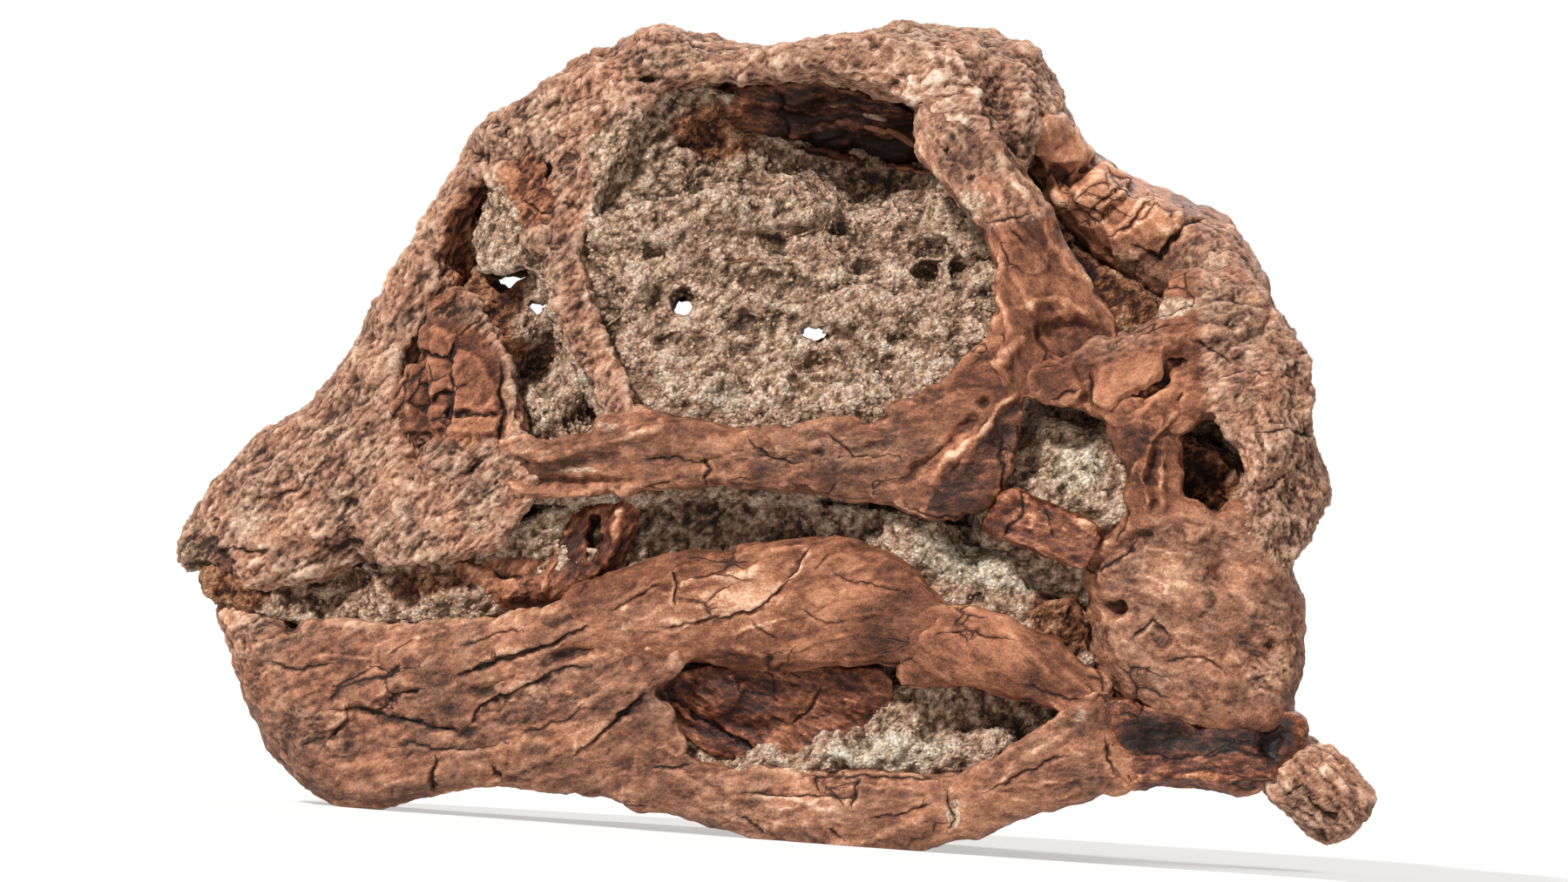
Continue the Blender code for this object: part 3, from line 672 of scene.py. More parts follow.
# %% [markdown]
# ## Bones round the eye and the cheek
# These thin bars kept their outer skin: smooth, red-brown, with a soft gloss where the
# conservator's resin sank in. Broken ends show as sharp ledges.

# %% Postorbital
# the bar behind the eye, whose lower end is smooth and hollowed
describe("postorbital", "fossil_bone", flush=0.75, flow=60, stretch=2.0,
    pulls=[(1.5, 3.0, mound(1, (105, 14), 6, 5))],
    wear=[plate(0.7, 1.5, (99, 4), (114, 4), (121, 18), (120, 25), (113, 27), (106, 21), (99, 12))],
    forms=[
        mound(-1.3, (123.5, 38.8), 5.4, 2.6, 5, edge=0.8),
        ledge(0.7, 2.5, (127.5, 34.4), (122.5, 31.2), (120, 27.5), (117.5, 24)),
        ridge(0.8, 0.8, (112.6, 15.4), (114.5, 18.3), (116.5, 22), (119.6, 24.6), (121, 28)),
        ledge(0.8, 2.2, (115, 47), (115.2, 38), (114.8, 33), (115, 27)),
        mound(0.8, (118, 34.5), 3, 4), ridge(0.9, 0.8, (117, 36), (121, 34.6), (126, 36.4)),
        ridge(0.7, 0.7, (111, 46.4), (115.5, 41.5), (117.5, 38)),
        mound(-1.0, (108.7, 17.1), 0.6, 0.8, edge=0.4),
        mound(-0.9, (111.8, 14), 0.6, 0.6, edge=0.4),
        mound(-0.9, (111.6, 20.6), 0.7, 0.8, edge=0.4), mound(-0.8, (110.6, 24.4), 2, 1.5)],
    cracks=[
        (0.2, 0.6, (113.4, 25.6), (116, 25.2), (118.4, 24.2)),
        (0.2, 0.5, (116, 26.8), (117.6, 27.8))],
    tones=[
        mound(0.4, (118.5, 33), 3, 6), mound(-0.5, (124, 38.8), 4.4, 1.2, 5),
        mound(0.2, (108, 14), 4, 4)],
    sand=[
        mound(0.8, (111.5, 23.5), 3, 4), mound(0.5, (119, 24.5), 2.5, 2),
        mound(0.4, (106.5, 15), 3, 4)])

# %% Jugal
# the long cheek bar under the eye, glossy where it meets the cheek
describe("jugal", "fossil_bone", flush=0.55, flow=-4,
    wear=[
        mound(0.2, (86, 52), 36, 10, edge=0.8), mound(0.35, (94, 52), 16, 3.5, -4),
        mound(0.4, (60, 51), 5, 3)],
    forms=[
        ledge(0.9, 2.2, (57.5, 54.5), (62, 56.2), (68, 56.3), (75.5, 56.4)),
        ridge(-1.4, 0.55, (60, 55.3), (66, 55.6), (73, 55.5)),
        ridge(1.4, 0.9, (58, 52), (64, 52.6), (72, 50.2), (78, 48.6)),
        ridge(-0.8, 0.8, (76, 53.4), (86, 52.6), (96, 52.2), (104, 50.6)),
        mound(0.9, (74, 51), 6, 2, -8),
        ridge(1.0, 0.8, (84, 50.2), (94, 49), (104, 46.6), (110, 43.5), (114, 38)),
        ledge(0.6, 2, (109, 55.4), (112.1, 50.5), (113.8, 48)),
        ridge(0.9, 0.4, (106.4, 55.6), (112.1, 50.3), (113.6, 48.2), (117, 44.5)),
        ridge(-1.0, 0.6, (103, 55.4), (108, 52), (112.6, 47)),
        mound(-0.8, (110.6, 55), 3, 2.4, -35), mound(-0.8, (114.8, 50.4), 1.6, 3, 20),
        ledge(0.5, 2, (80, 52.8), (86, 55), (92, 55.4)),
        ridge(0.7, 0.5, (102, 57.5), (108, 59.3), (114, 59.6)),
        mound(-1.2, (112.6, 46.2), 1.2, 0.9, -40)],
    cracks=[
        (0.25, 0.9, (80.6, 52.4), (81.4, 54), (81.2, 55.6)), (0.15, 0.5, (74, 52.5), (81, 53.2)),
        (0.15, 0.5, (86, 50.4), (88, 52.6), (92, 53)),
        (0.2, 0.7, (104, 58), (108, 59.6), (114, 59.8)),
        (0.15, 0.5, (95, 49.5), (98, 52.4), (103, 52.2)),
        (0.2, 0.6, (114.7, 50), (115.2, 54.4), (114.8, 58))],
    tones=[
        mound(0.35, (74, 49.5), 8, 2.6, -8),
        plate(-0.7, 0.5, (107, 56), (112.8, 50.8), (114.4, 48.4), (117, 46), (117.5, 60),
            (106, 60)),
        ridge(0.4, 0.3, (106, 55.4), (112.1, 50.3), (113.6, 48.2), (117, 44.5)),
        mound(-0.3, (102, 47), 12, 2, -20, edge=0.3), mound(-0.35, (92, 54), 14, 2.4, edge=0.3)],
    warm=[mound(0.35, (111, 55), 8, 7, edge=0.5)],
    sand=[mound(0.6, (66, 54.2), 8, 0.8), mound(0.5, (69, 49), 5, 1.2, -10)],
    gloss=[mound(1, (110.5, 55.5), 5, 4), mound(1, (115, 50), 3, 5)])

# %% Quadratojugal
# a short, dark, glossy strip that closes the cheek below
describe("quadratojugal", "dark_fossil_bone", lap=0, flush=1.0, flow=18,
    forms=[
        ledge(0.5, 2, (114, 59.5), (118, 61.8), (123.4, 64)),
        ridge(0.5, 0.5, (116.2, 56.4), (115, 58.2), (114.4, 60))],
    cracks=[
        (0.2, 0.6, (116.8, 56), (117.4, 58.6), (115.4, 61.4)), (0.12, 0.4, (120, 58.4), (121, 61))],
    # painted highlight: the small bright tone is a glint
    tones=[mound(0.1, (119, 60), 9, 6, edge=0.5), mound(1.0, (118.2, 59.2), 1.1, 1.8, 15)],
    gloss=[mound(1, (119, 60), 9, 6, edge=0.5)])

# %% Squamosal
# the upper rear corner, split by one wide black crack
describe("squamosal", "fossil_bone", flush=0.7, flow=-18, stretch=2.0,
    pulls=[
        (0, -4.5, mound(1, (136, 36.5), 8, 5)), (0, 1.8, mound(1, (135.6, 47), 2.4, 3)),
        (0, 2.2, mound(1, (143, 47), 2.4, 3)), (0, -0.6, mound(1, (139.2, 47), 2, 3))],
    wear=[
        plate(0.9, 1.5, (137, 30), (156, 34), (156, 64), (139, 52), (138, 40)),
        mound(0.7, (128, 39), 8, 3, -14)],
    forms=[
        plate(0.9, 0.4, (125.6, 42.3), (130, 40.4), (135.6, 39.6), (133.6, 43), (131, 45),
            (127.8, 47.1), (125.4, 46.2)),
        plate(0.5, 0.4, (118, 41.2), (123, 41.6), (124.2, 45.2), (121, 47.2), (118, 46.2)),
        plate(0.4, 0.4, (125.2, 48.7), (131, 46.8), (132.8, 44.9), (130.6, 51.6), (129, 55.2),
            (127, 52.2)),
        ridge(1.2, 0.9, (124, 42), (130, 39.6), (136, 38.6), (141, 37.6)),
        mound(-1.0, (133.5, 35), 2.4, 1.4, -20),
        ridge(-1.8, 0.55, (127.6, 47.3), (131, 45.1), (133.8, 43.4), (134.3, 41.4), (136.2, 41.5)),
        ridge(-1.3, 0.5, (133.8, 48), (135.5, 45)),
        ridge(0.9, 0.4, (130.6, 53), (133, 49), (136, 44.4)), mound(0.8, (141.5, 45), 4, 4),
        mound(-0.9, (138.4, 43), 1.6, 1), mound(1.0, (146, 43), 3, 5),
        mound(-1.3, (124.4, 46), 0.9, 1.4)],
    cracks=[
        (0.32, 1.2, (127.2, 47.5), (131, 45), (133.8, 43.6), (134.2, 41.5), (136.4, 41.4)),
        (0.25, 0.9, (133.9, 47.9), (135.4, 45.1)), (0.2, 0.6, (120.8, 46), (123.4, 44.6)),
        (0.2, 0.6, (124.8, 42.6), (125.2, 46.8)), (0.15, 0.5, (137, 39), (141, 41.6)),
        (0.15, 0.5, (139, 44), (143, 42.5), (146, 43.2))],
    tones=[
        mound(-0.5, (129, 50), 3, 5), mound(0.25, (130, 42.5), 4, 2),
        mound(-0.3, (120, 44.5), 3, 2.6)],
    sand=[mound(0.8, (135, 35.5), 5, 2.4, -10), mound(0.4, (145, 39), 4, 4)],
    gloss=[mound(0.9, (129, 49), 4, 6), mound(0.6, (130, 43), 5, 3)],
    warm=[mound(0.8, (131, 44), 8, 5, edge=0.4)])

# %% Quadrate
# the column that carries the jaw, with a large worn knob at its foot
describe("quadrate", "fossil_bone", flush=0.25, flow=20, stretch=2.0,
    pulls=[
        (1.0, -1.8, mound(1, (135.6, 60.6), 3.6, 3.4)),
        (-0.8, -1.8, mound(1, (142.6, 60.4), 3.6, 3.4))],
    wear=[mound(0.4, (138, 71), 16, 14, edge=0.7), mound(0.4, (146, 78), 6, 8)],
    forms=[
        mound(0.7, (134, 68), 5, 4), mound(-2.6, (128, 69.9), 2, 1.5, 25, edge=0.45),
        mound(0.8, (143, 68), 4, 5), mound(-0.8, (139.5, 66), 2, 4, 15),
        mound(-0.6, (133.2, 73.2), 1.6, 1.4, edge=0.5), mound(0.9, (139, 78), 6, 3),
        ridge(-0.9, 0.7, (124, 66), (129, 62.5), (133, 61)),
        mound(0.9, (126, 63.5), 2.2, 1.6, -30),
        ridge(0.9, 0.35, (132, 51), (131.4, 55), (131.8, 58.6)),
        ridge(0.8, 0.35, (133.4, 51), (133.2, 55), (133.6, 59)),
        ridge(-0.5, 0.3, (132.7, 51), (132.3, 55), (132.7, 59)),
        ridge(0.7, 0.3, (136, 46), (132.4, 50.4), (129.8, 55)),
        ledge(0.7, 2.5, (143, 61.5), (139, 61), (135.6, 62.4)),
        ledge(0.6, 2.5, (147.6, 80), (144, 76.5), (140.5, 76)), mound(-0.7, (145.6, 74), 1.6, 2)],
    cracks=[
        (0.2, 0.7, (126, 66), (128.6, 64.4), (130.4, 62)),
        (0.2, 0.6, (130, 73.4), (132.4, 71.6), (134.4, 72.6)),
        (0.25, 0.9, (125.2, 73.5), (125.8, 77.5), (128, 80)),
        (0.15, 0.5, (134, 76), (138, 75.4), (141, 77)), (0.2, 0.6, (128.4, 62), (129.4, 58.4))],
    tones=[
        mound(0.75, (134, 67), 6, 5.5), mound(0.05, (137, 71), 14, 12, edge=0.6),
        mound(-0.3, (144, 74), 4, 7),
        plate(-0.35, 0.6, (125, 48.6), (132.8, 44.6), (131.6, 50), (129.4, 56), (127, 54))],
    gloss=[plate(1, 0.6, (125, 48.6), (132.8, 44.6), (131.6, 50), (129.4, 56), (127, 54))],
    sand=[mound(0.3, (139, 62.5), 4, 2), mound(0.3, (138, 70), 7, 8)])

# %% Paroccipital process
# the wing of bone at the back, beside the round hole
describe("paroccipital", "rough_fossil_bone", flush=0.45, flow=70, stretch=1.6,
    pulls=[(-1.4, 0, mound(1, (143, 58.6), 3, 3)), (-1.2, 0, mound(1, (143, 48.6), 3, 2.6))],
    forms=[
        mound(1.0, (146.5, 50), 3, 5), mound(-0.8, (148.6, 56), 1.6, 2.4),
        ridge(0.8, 0.7, (143.6, 48), (144, 54), (143, 60)), mound(0.8, (146, 60.5), 2.6, 2.4)],
    cracks=[
        (0.2, 0.6, (145, 56.6), (147.5, 54.4)), (0.15, 0.5, (144.5, 50), (148, 49.2), (150, 50.4))],
    tones=[mound(0.3, (141.5, 60.4), 2.5, 1.6), mound(-0.3, (148, 52), 3, 3)],
    sand=[mound(0.7, (142, 60.5), 3, 1.6), mound(0.35, (147, 58), 3, 4)])

# %% [markdown]
# ## The lower jaw
# The jaw's bones split along their grain as they dried, so their cracks run the long way and
# leave thin steps, with short breaks across.

# %% Dentary
# the front half of the jaw, split the long way into thin steps
describe("dentary", "fossil_bone", flush=0.35, flow=-14,
    pulls=[
        (-2.6, 0, mound(1, (77.6, 79.6), 4, 2.2)), (0.8, -1.2, mound(1, (77, 75.8), 4, 2.4)),
        (3.4, 0.8, mound(1, (78, 85), 4, 3))],
    shatter=[mound(0.3, (50, 80), 26, 9, edge=0.7)],
    wear=[
        mound(0.3, (50, 80), 40, 22, edge=0.8), mound(0.6, (28, 72), 10, 10),
        mound(0.4, (44, 71.5), 12, 2.4), mound(0.5, (60, 79.5), 9, 4, -22),
        mound(0.4, (36, 83), 7, 5)],
    forms=[
        ridge(0.9, 0.8, (36.5, 71.6), (42, 72.2), (50, 72.2), (56, 70.4), (62, 67.2)),
        ledge(0.7, 2.6, (69, 71.2), (65.3, 72.9), (61.5, 74.5), (57.7, 75.5), (55, 76.4), (52, 78)),
        ledge(0.6, 2.6, (67.9, 76.2), (64.7, 76.8), (60.8, 78.7), (58.3, 80), (55.4, 81.2),
            (53.5, 83.4)),
        ledge(0.7, 2.5, (49, 79.6), (46, 78.5), (43.6, 80.2), (42.4, 82)),
        ridge(-0.4, 0.5, (40.4, 81.5), (45.5, 82.6), (50, 83.4), (53.5, 84.2)),
        ledge(-0.8, 3, (37.5, 85), (40, 82.8), (40.3, 80.8)),
        plate(0.7, 0.4, (37.6, 84.8), (39.4, 84.4), (39.6, 86.2), (38.2, 86.4)),
        mound(0.9, (60, 71.5), 7, 1.6, -22), mound(-0.8, (57, 78.6), 5, 1.2, -22),
        mound(-1.0, (66, 75), 5, 1.6, -28), mound(0.8, (34, 80), 5, 4),
        mound(-0.6, (36.5, 84), 3, 1.6), mound(0.8, (44, 90), 6, 2.4),
        mound(-1.0, (31, 68), 3, 1.6, 20),
        ledge(0.6, 3, (36, 86.5), (42, 87.5), (50, 86.6), (57, 85.4), (64, 84.6)),
        ridge(0.6, 0.8, (66, 81.6), (70, 79), (74.6, 76.5)),
        ledge(0.7, 2, (75.5, 79), (71, 82.2), (68.4, 84.4), (66, 87)),
        mound(-0.5, (44.3, 73.1), 0.45, 0.4), mound(-0.9, (38.1, 73.6), 0.5, 0.4, edge=0.3),
        mound(-0.8, (40.4, 72.6), 0.4, 0.4, edge=0.3),
        mound(-0.8, (43.6, 75.3), 0.5, 0.4, edge=0.3), mound(-0.5, (46.8, 76), 1.2, 0.6, -40),
        mound(-0.9, (33.5, 72), 2.6, 1.8, 30)],
    cracks=[
        (0.3, 0.9, (43.6, 78), (45.9, 76.4)),
        (0.25, 0.9, (52, 78.1), (55, 76.4), (57.7, 75.5), (61.5, 74.5), (65.3, 72.9), (68.8, 71.3)),
        (0.25, 0.8, (53.5, 83.4), (55.4, 81.2), (58.3, 80), (60.8, 78.7), (64.7, 76.8),
            (67.9, 76.2)),
        (0.22, 0.7, (43.2, 82), (44.9, 80), (48.7, 79)),
        (0.2, 0.7, (40.4, 81.5), (45.5, 82.6), (50, 83.4), (53.5, 84.2)),
        (0.3, 0.9, (50, 87), (49.7, 90.5)), (0.3, 0.8, (56.7, 87.9), (57.3, 89.6)),
        (0.25, 0.8, (37.5, 85), (39.8, 82.8), (40.1, 81.2)),
        (0.2, 0.7, (65.8, 86.8), (69.4, 83.7), (74.7, 79.7)),
        (0.15, 0.5, (60, 84), (64, 83), (67, 81)), (0.15, 0.5, (45, 85.6), (52, 86), (58, 85.4)),
        (0.15, 0.5, (30, 76), (34, 77), (38, 76.4)),
        (0.15, 0.5, (53, 74.2), (57, 72.6), (60, 72.4))],
    tones=[
        mound(-0.2, (34, 80), 10, 12, edge=0.7), mound(-0.12, (52, 82), 20, 7, edge=0.7),
        mound(0.4, (46, 73.4), 9, 2), mound(0.4, (58, 71.4), 7, 1.6, -22),
        mound(-0.35, (57, 79.5), 8, 2, -22), mound(-0.3, (45, 82.6), 6, 1.6),
        mound(0.3, (66, 84), 5, 3), mound(-0.35, (66, 76), 4, 2)],
    sand=[
        mound(0.6, (29, 69), 4, 2), mound(0.45, (66, 81), 4, 2, -30), mound(0.4, (38, 71.5), 8, 1)])

# %% Front of the surangular
# the high, polished arch of the jaw
describe("surangular_front", "fossil_bone", flush=0.45, flow=-10,
    wear=[mound(0.3, (72, 71), 8, 4)],
    forms=[
        ledge(0.5, 2.6, (90.8, 66.6), (88.6, 68.9), (85, 70.7), (79.2, 71.6), (75.6, 72.1)),
        ridge(0.6, 0.7, (77, 67), (82, 66.2), (88, 66)), mound(0.7, (98, 69), 6, 4),
        mound(0.5, (80, 69), 4, 2), ledge(0.5, 2, (77.4, 65.4), (77.9, 67.6), (77.4, 69.8)),
        ridge(0.7, 0.6, (72, 68.6), (78, 65.4), (86, 63.6), (94, 62.8)),
        mound(0.5, (88, 74.4), 8, 1.4), ledge(0.4, 2, (89.9, 66.7), (91.4, 64.9), (93, 63.1))],
    cracks=[
        (0.25, 0.8, (89.9, 66.7), (91.2, 65.2), (93, 63.1)),
        (0.2, 0.7, (90.6, 66.8), (88.6, 68.9), (85, 70.7), (79.2, 71.6), (75.6, 72.1)),
        (0.18, 0.6, (77.4, 69.8), (77.9, 67.6), (77.4, 65.4)),
        (0.12, 0.4, (79.2, 66.3), (82, 65.6), (85, 66.7)), (0.12, 0.4, (86.3, 71.2), (89, 73.4)),
        (0.15, 0.5, (70, 70), (73, 68.6), (75.4, 67)),
        (0.12, 0.4, (96, 66), (100, 67.2), (104, 68.4)),
        (0.12, 0.35, (92, 70), (95, 71.6), (97, 71.2))],
    tones=[
        # painted highlight: the pale tones on the arch's bulge
        mound(0.6, (86, 69), 20, 6, -8, edge=0.5), mound(0.5, (83.5, 68), 6, 3, -12),
        mound(-0.3, (100, 71), 6, 5)],
    sand=[mound(0.4, (72, 71.5), 4, 1.2, -30)], gloss=[mound(0.5, (84, 68), 5, 3)],
    warm=[mound(0.5, (98, 69), 8, 5)])

# %% Rear of the surangular
# the same bone behind the break
describe("surangular_rear", "fossil_bone", flush=0.4, flow=28,
    forms=[
        mound(0.6, (112, 74), 6, 2.4, 25), ridge(0.6, 0.6, (114.5, 72), (118, 74.6), (121, 78)),
        mound(-0.4, (119, 73), 2.4, 1.2, 35)],
    cracks=[
        (0.15, 0.5, (118, 78.6), (121, 80.2), (124, 80.4)),
        (0.12, 0.4, (107, 73), (112, 72.4), (116, 73.6))],
    tones=[
        # painted highlight: the pale streak at 116.5 along
        mound(0.5, (116.5, 75), 1.4, 3, -30), mound(-0.3, (108, 76.5), 4, 1.6),
        mound(-0.25, (119.5, 72.6), 2, 1)],
    sand=[mound(0.4, (123.5, 76), 2, 2)], warm=[mound(0.9, (112, 74), 9, 5)])

# %% Angular
# the jaw's lower edge, with fine parallel lines
describe("angular", "fossil_bone", flush=0.5, flow=2,
    wear=[
        mound(0.25, (100, 91), 36, 10, edge=0.8), mound(0.3, (88, 93), 14, 5),
        mound(0.4, (122, 84), 7, 4, -28)],
    forms=[
        ridge(0.5, 0.6, (85, 88.4), (92.6, 88.6), (108.4, 88.6)),
        ledge(0.6, 2, (85, 91), (93.9, 91.3), (98.4, 91.7), (108.2, 91.7)),
        ridge(-0.6, 0.35, (92.6, 89.6), (100, 89.7), (108, 89.5)), mound(0.6, (96, 93.6), 8, 2),
        ledge(0.6, 2, (95, 97), (101, 95.6), (107, 93.4)), mound(-0.8, (109.6, 93.4), 1.2, 3, 10),
        mound(0.6, (118, 88), 6, 2, -28), ridge(0.6, 0.6, (112, 92), (118, 87), (124, 83.4)),
        ledge(0.6, 2.4, (76, 86.6), (80, 89.6), (85, 93)), mound(-0.5, (88, 94), 2, 1.4),
        mound(0.5, (79, 85.6), 3, 2, 35)],
    cracks=[
        (0.2, 0.7, (92.6, 89.2), (100, 89.3), (108.4, 89.1)),
        (0.2, 0.7, (85, 90.9), (93.9, 91.2), (98.4, 91.7)),
        (0.2, 0.7, (97.9, 92.6), (98.4, 91), (98.8, 89.5)), (0.15, 0.5, (93.7, 90.8), (93.9, 89)),
        (0.15, 0.5, (85, 93.5), (87.7, 95.3)), (0.15, 0.5, (95.3, 95.3), (97, 96.8)),
        (0.2, 0.6, (74.7, 88.6), (79.2, 87.7)),
        (0.2, 0.6, (108.8, 91), (109.6, 94), (108.8, 95.6)),
        (0.15, 0.5, (113, 91), (118, 88.6), (123, 86.8)),
        (0.25, 0.8, (127, 85), (127.6, 87.8), (128.6, 89.8)),
        (0.15, 0.5, (100, 94), (104, 93.4), (107, 92.2))],
    tones=[
        mound(0.25, (100, 91), 26, 7, edge=0.5), mound(0.3, (96, 92.6), 8, 1.4),
        mound(-0.35, (90, 95.6), 7, 1.4, 15)],
    sand=[
        mound(0.95, (109.6, 93.6), 1.3, 2.6, 10, edge=0.4), mound(0.5, (77, 85), 2.6, 1.6, 40),
        mound(0.5, (124, 82), 3, 3)])

# %% Prearticular
# the inner wall of the jaw, seen dark and red through its opening
describe("prearticular", "dark_fossil_bone", lap=0, flush=1.0, flow=20,
    pulls=[(-2.0, 0, mound(1, (75, 80), 6, 6)), (2.0, 0, mound(1, (99, 80), 5, 6))],
    face=levels(
        (76, 79, 15.5), (84, 78, 17), (92, 78, 18), (99, 79, 18.5), (79, 83, 14.5), (84, 85, 15),
        (92, 84, 16.5), (99, 84, 17)),
    forms=[
        ledge(0.9, 3, (91.3, 86.8), (86.8, 85.9), (82.3, 83.7), (78.8, 82.3), (75.6, 79.2)),
        ridge(-1.0, 0.6, (76, 78.6), (79.4, 81.4), (83.8, 84.6)),
        mound(-0.6, (79, 79), 1.4, 1.4, edge=0.3), mound(0.7, (88, 82), 5, 2),
        ledge(0.5, 2, (86, 78), (85, 80.6), (82, 82.2))],
    cracks=[
        (0.25, 0.8, (77, 79.6), (79.6, 82), (83, 84.2), (87, 86)),
        (0.15, 0.5, (84.4, 77.6), (84.8, 80)), (0.2, 0.6, (94, 79), (92.6, 81.6), (91, 83.2))],
    tones=[mound(-0.3, (80, 79), 5, 3), mound(0.2, (86, 84.4), 5, 1.4)])

# %% Articular
# the jaw's joint, stained nearly black, with painted shadow in its rear pocket
describe("articular", "dark_fossil_bone", flush=0.4, flow=4,
    forms=[
        ridge(1.2, 0.7, (129, 89), (136, 88.6), (143, 89.2), (147, 88)),
        mound(-1.0, (136, 85), 7, 2.6), mound(-1.5, (146, 85), 2.2, 2.6, edge=0.2)],
    cracks=[
        (0.3, 1.0, (127.2, 82), (128, 85.4), (129.6, 89.6)),
        (0.15, 0.5, (131, 86.6), (137, 87), (142, 86.4))],
    tones=[
        mound(-0.85, (136, 84.4), 11, 3.4, edge=0.5), mound(0.3, (137, 88.8), 8, 1),
        # painted shadow: the black tone in the pocket at the rear
        mound(-1.0, (146.4, 85), 3, 4, edge=0.5)],
    sand=[mound(0.3, (133, 88.6), 6, 1)])

# %% Retroarticular block
# the loose block behind the jaw
describe("retroarticular", "rough_fossil_bone", flush=0.2, flow=40,
    forms=[
        ledge(0.6, 2, (149, 86), (152.6, 88.6), (155.6, 91)), mound(-0.8, (152.8, 93.6), 1.4, 1.4),
        mound(0.6, (153, 88.4), 2.4, 1.6, 35)],
    cracks=[
        (0.2, 0.6, (150, 91.4), (152.4, 93.6), (153.8, 93)),
        (0.2, 0.6, (147.6, 91.2), (149.4, 90))],
    # painted shadow: the dark tone at the block's foot
    tones=[mound(-0.9, (152.4, 96), 1.6, 1.2, edge=0.3), mound(-0.3, (150, 90), 2, 2)],
    sand=[mound(0.4, (152, 89), 3, 3)])

# %% Pterygoid
# a bone of the palate that shows in the mouth, with a slot blackened by painted shade
describe("pterygoid", "dark_fossil_bone", lap=0, flush=0.0, flow=-50,
    forms=[
        ledge(0.8, 2, (52.4, 64.6), (58, 66.2), (62, 68.8)), mound(-1.0, (63.6, 62.6), 3, 5, 15),
        ridge(0.8, 0.5, (66.6, 59), (63.6, 64), (62.4, 68.4)),
        ridge(0.8, 0.6, (71.6, 57.6), (70.4, 62), (69.4, 65.4)),
        plate(-2.6, 0.35, (67.8, 59), (69, 59.2), (68.8, 62), (67.8, 65.6), (67.4, 62))],
    cracks=[(0.2, 0.6, (56, 65.4), (60, 66.8))],
    # painted shade: the dark tone in the slot
    tones=[mound(-0.3, (64, 62), 4, 5), mound(-1.0, (68.2, 62), 0.8, 3.6, edge=0.5)],
    sand=[mound(0.3, (71, 62), 2, 4)], warm=[mound(1.0, (58, 66.5), 5, 3)])

# %% [markdown]
# ## Sandstone between the bones
# The sand that filled the openings is loosely bound, so it has a face of its own: heaps,
# hollows and ledges left by the preparator's needle. No table of half widths fits that, so each
# face is set by depths at measured spots, which levels blends into one surface.

# %% Sand in the eye opening
# heaps, steps and two deep pockets under the roof
describe("sandstone_orbit", "sandstone", flush=1.0, flow=-14,
    face=levels(
        (66, 20, 13), (72, 14, 12.5), (80, 11, 11.5), (70, 24, 12), (76, 18, 11), (82, 19, 8.5),
        (90, 17, 6.5), (95, 18.5, 4), (99, 19, 2.5), (104, 18, 3), (101, 21, 3), (105, 20.6, 4),
        (108, 21, 8), (70, 28, 13.5), (82, 24.6, 12.5), (92, 24, 12), (102, 25, 10.5),
        (110, 25, 14), (68, 36, 13.5), (80, 32, 13.5), (92, 33, 14), (104, 34, 13.5),
        (113, 32, 14.5), (72, 43, 15), (82, 41, 14), (93, 42, 14), (104, 41, 15.5), (112, 40, 17),
        (80, 46, 17), (90, 47.5, 18), (100, 47, 19), (108, 44.5, 20)),
    forms=[
        ledge(2.6, 4, (66, 27), (70, 24.8), (76, 23.6), (83, 22.8), (90, 23.6)),
        mound(-4.4, (107, 27.8), 2.4, 1.4, edge=0.3),
        mound(-3.6, (106.2, 31.4), 1.6, 2.2, edge=0.2),
        ridge(-3.0, 0.7, (108.7, 30.8), (111, 30.6), (114.6, 29.2)),
        mound(-2.2, (75, 29), 2.2, 1.6), mound(1.6, (88, 30), 5, 3),
        mound(-1.6, (78.6, 34.6), 2.4, 2), mound(1.6, (73, 33), 3, 4),
        mound(-1.8, (103.5, 38.8), 3.4, 1.5), mound(1.6, (97, 36.6), 3.4, 2.2),
        mound(-1.4, (86, 37), 2.8, 1.8), mound(-1.7, (94, 41.5), 3.4, 1.6),
        mound(1.8, (90, 21), 4, 2), mound(-1.6, (82, 15.4), 2.4, 1.6),
        mound(-1.6, (79, 16.6), 2, 1.2), mound(1.4, (108, 37), 3, 3),
        mound(-1.4, (76.5, 39), 2.2, 1.6),
        ledge(1.3, 3, (84, 33.4), (90, 34.6), (97, 33.6), (103, 34.4), (109, 33)),
        ledge(1.2, 2.6, (74, 40.6), (80, 41.6), (87, 40.2), (95, 44.6), (102, 43.4)),
        ridge(-1.1, 0.8, (84, 26.4), (90, 27.2), (96, 25.6), (102, 27.4)),
        mound(-1.5, (100, 30.4), 2.6, 1.4, -15), mound(1.5, (83, 43.6), 3, 1.8),
        mound(-1.4, (90, 46), 2.2, 1.2)],
    cracks=[], warm=[mound(0.9, (82, 15), 7, 4, edge=0.4)],
    tones=[
        # painted shade: the tones that darken the upper left and the pocket under the roof's rim
        mound(-0.15, (81, 15.5), 12, 5, edge=0.4), mound(0.3, (73, 19), 6, 6),
        mound(0.15, (90, 43), 22, 6, edge=0.6), mound(-0.9, (101, 18.6), 6, 3.6, 15),
        mound(0.5, (74, 30), 5, 3), mound(0.4, (104, 42), 8, 4, -20), mound(-0.25, (86, 36), 5, 3)],
    sand=[
        mound(0.9, (83, 45.4), 4.6, 2.6, 20), mound(0.3, (98, 30), 4, 3),
        mound(0.5, (76, 43.5), 3, 2.4, 40)])

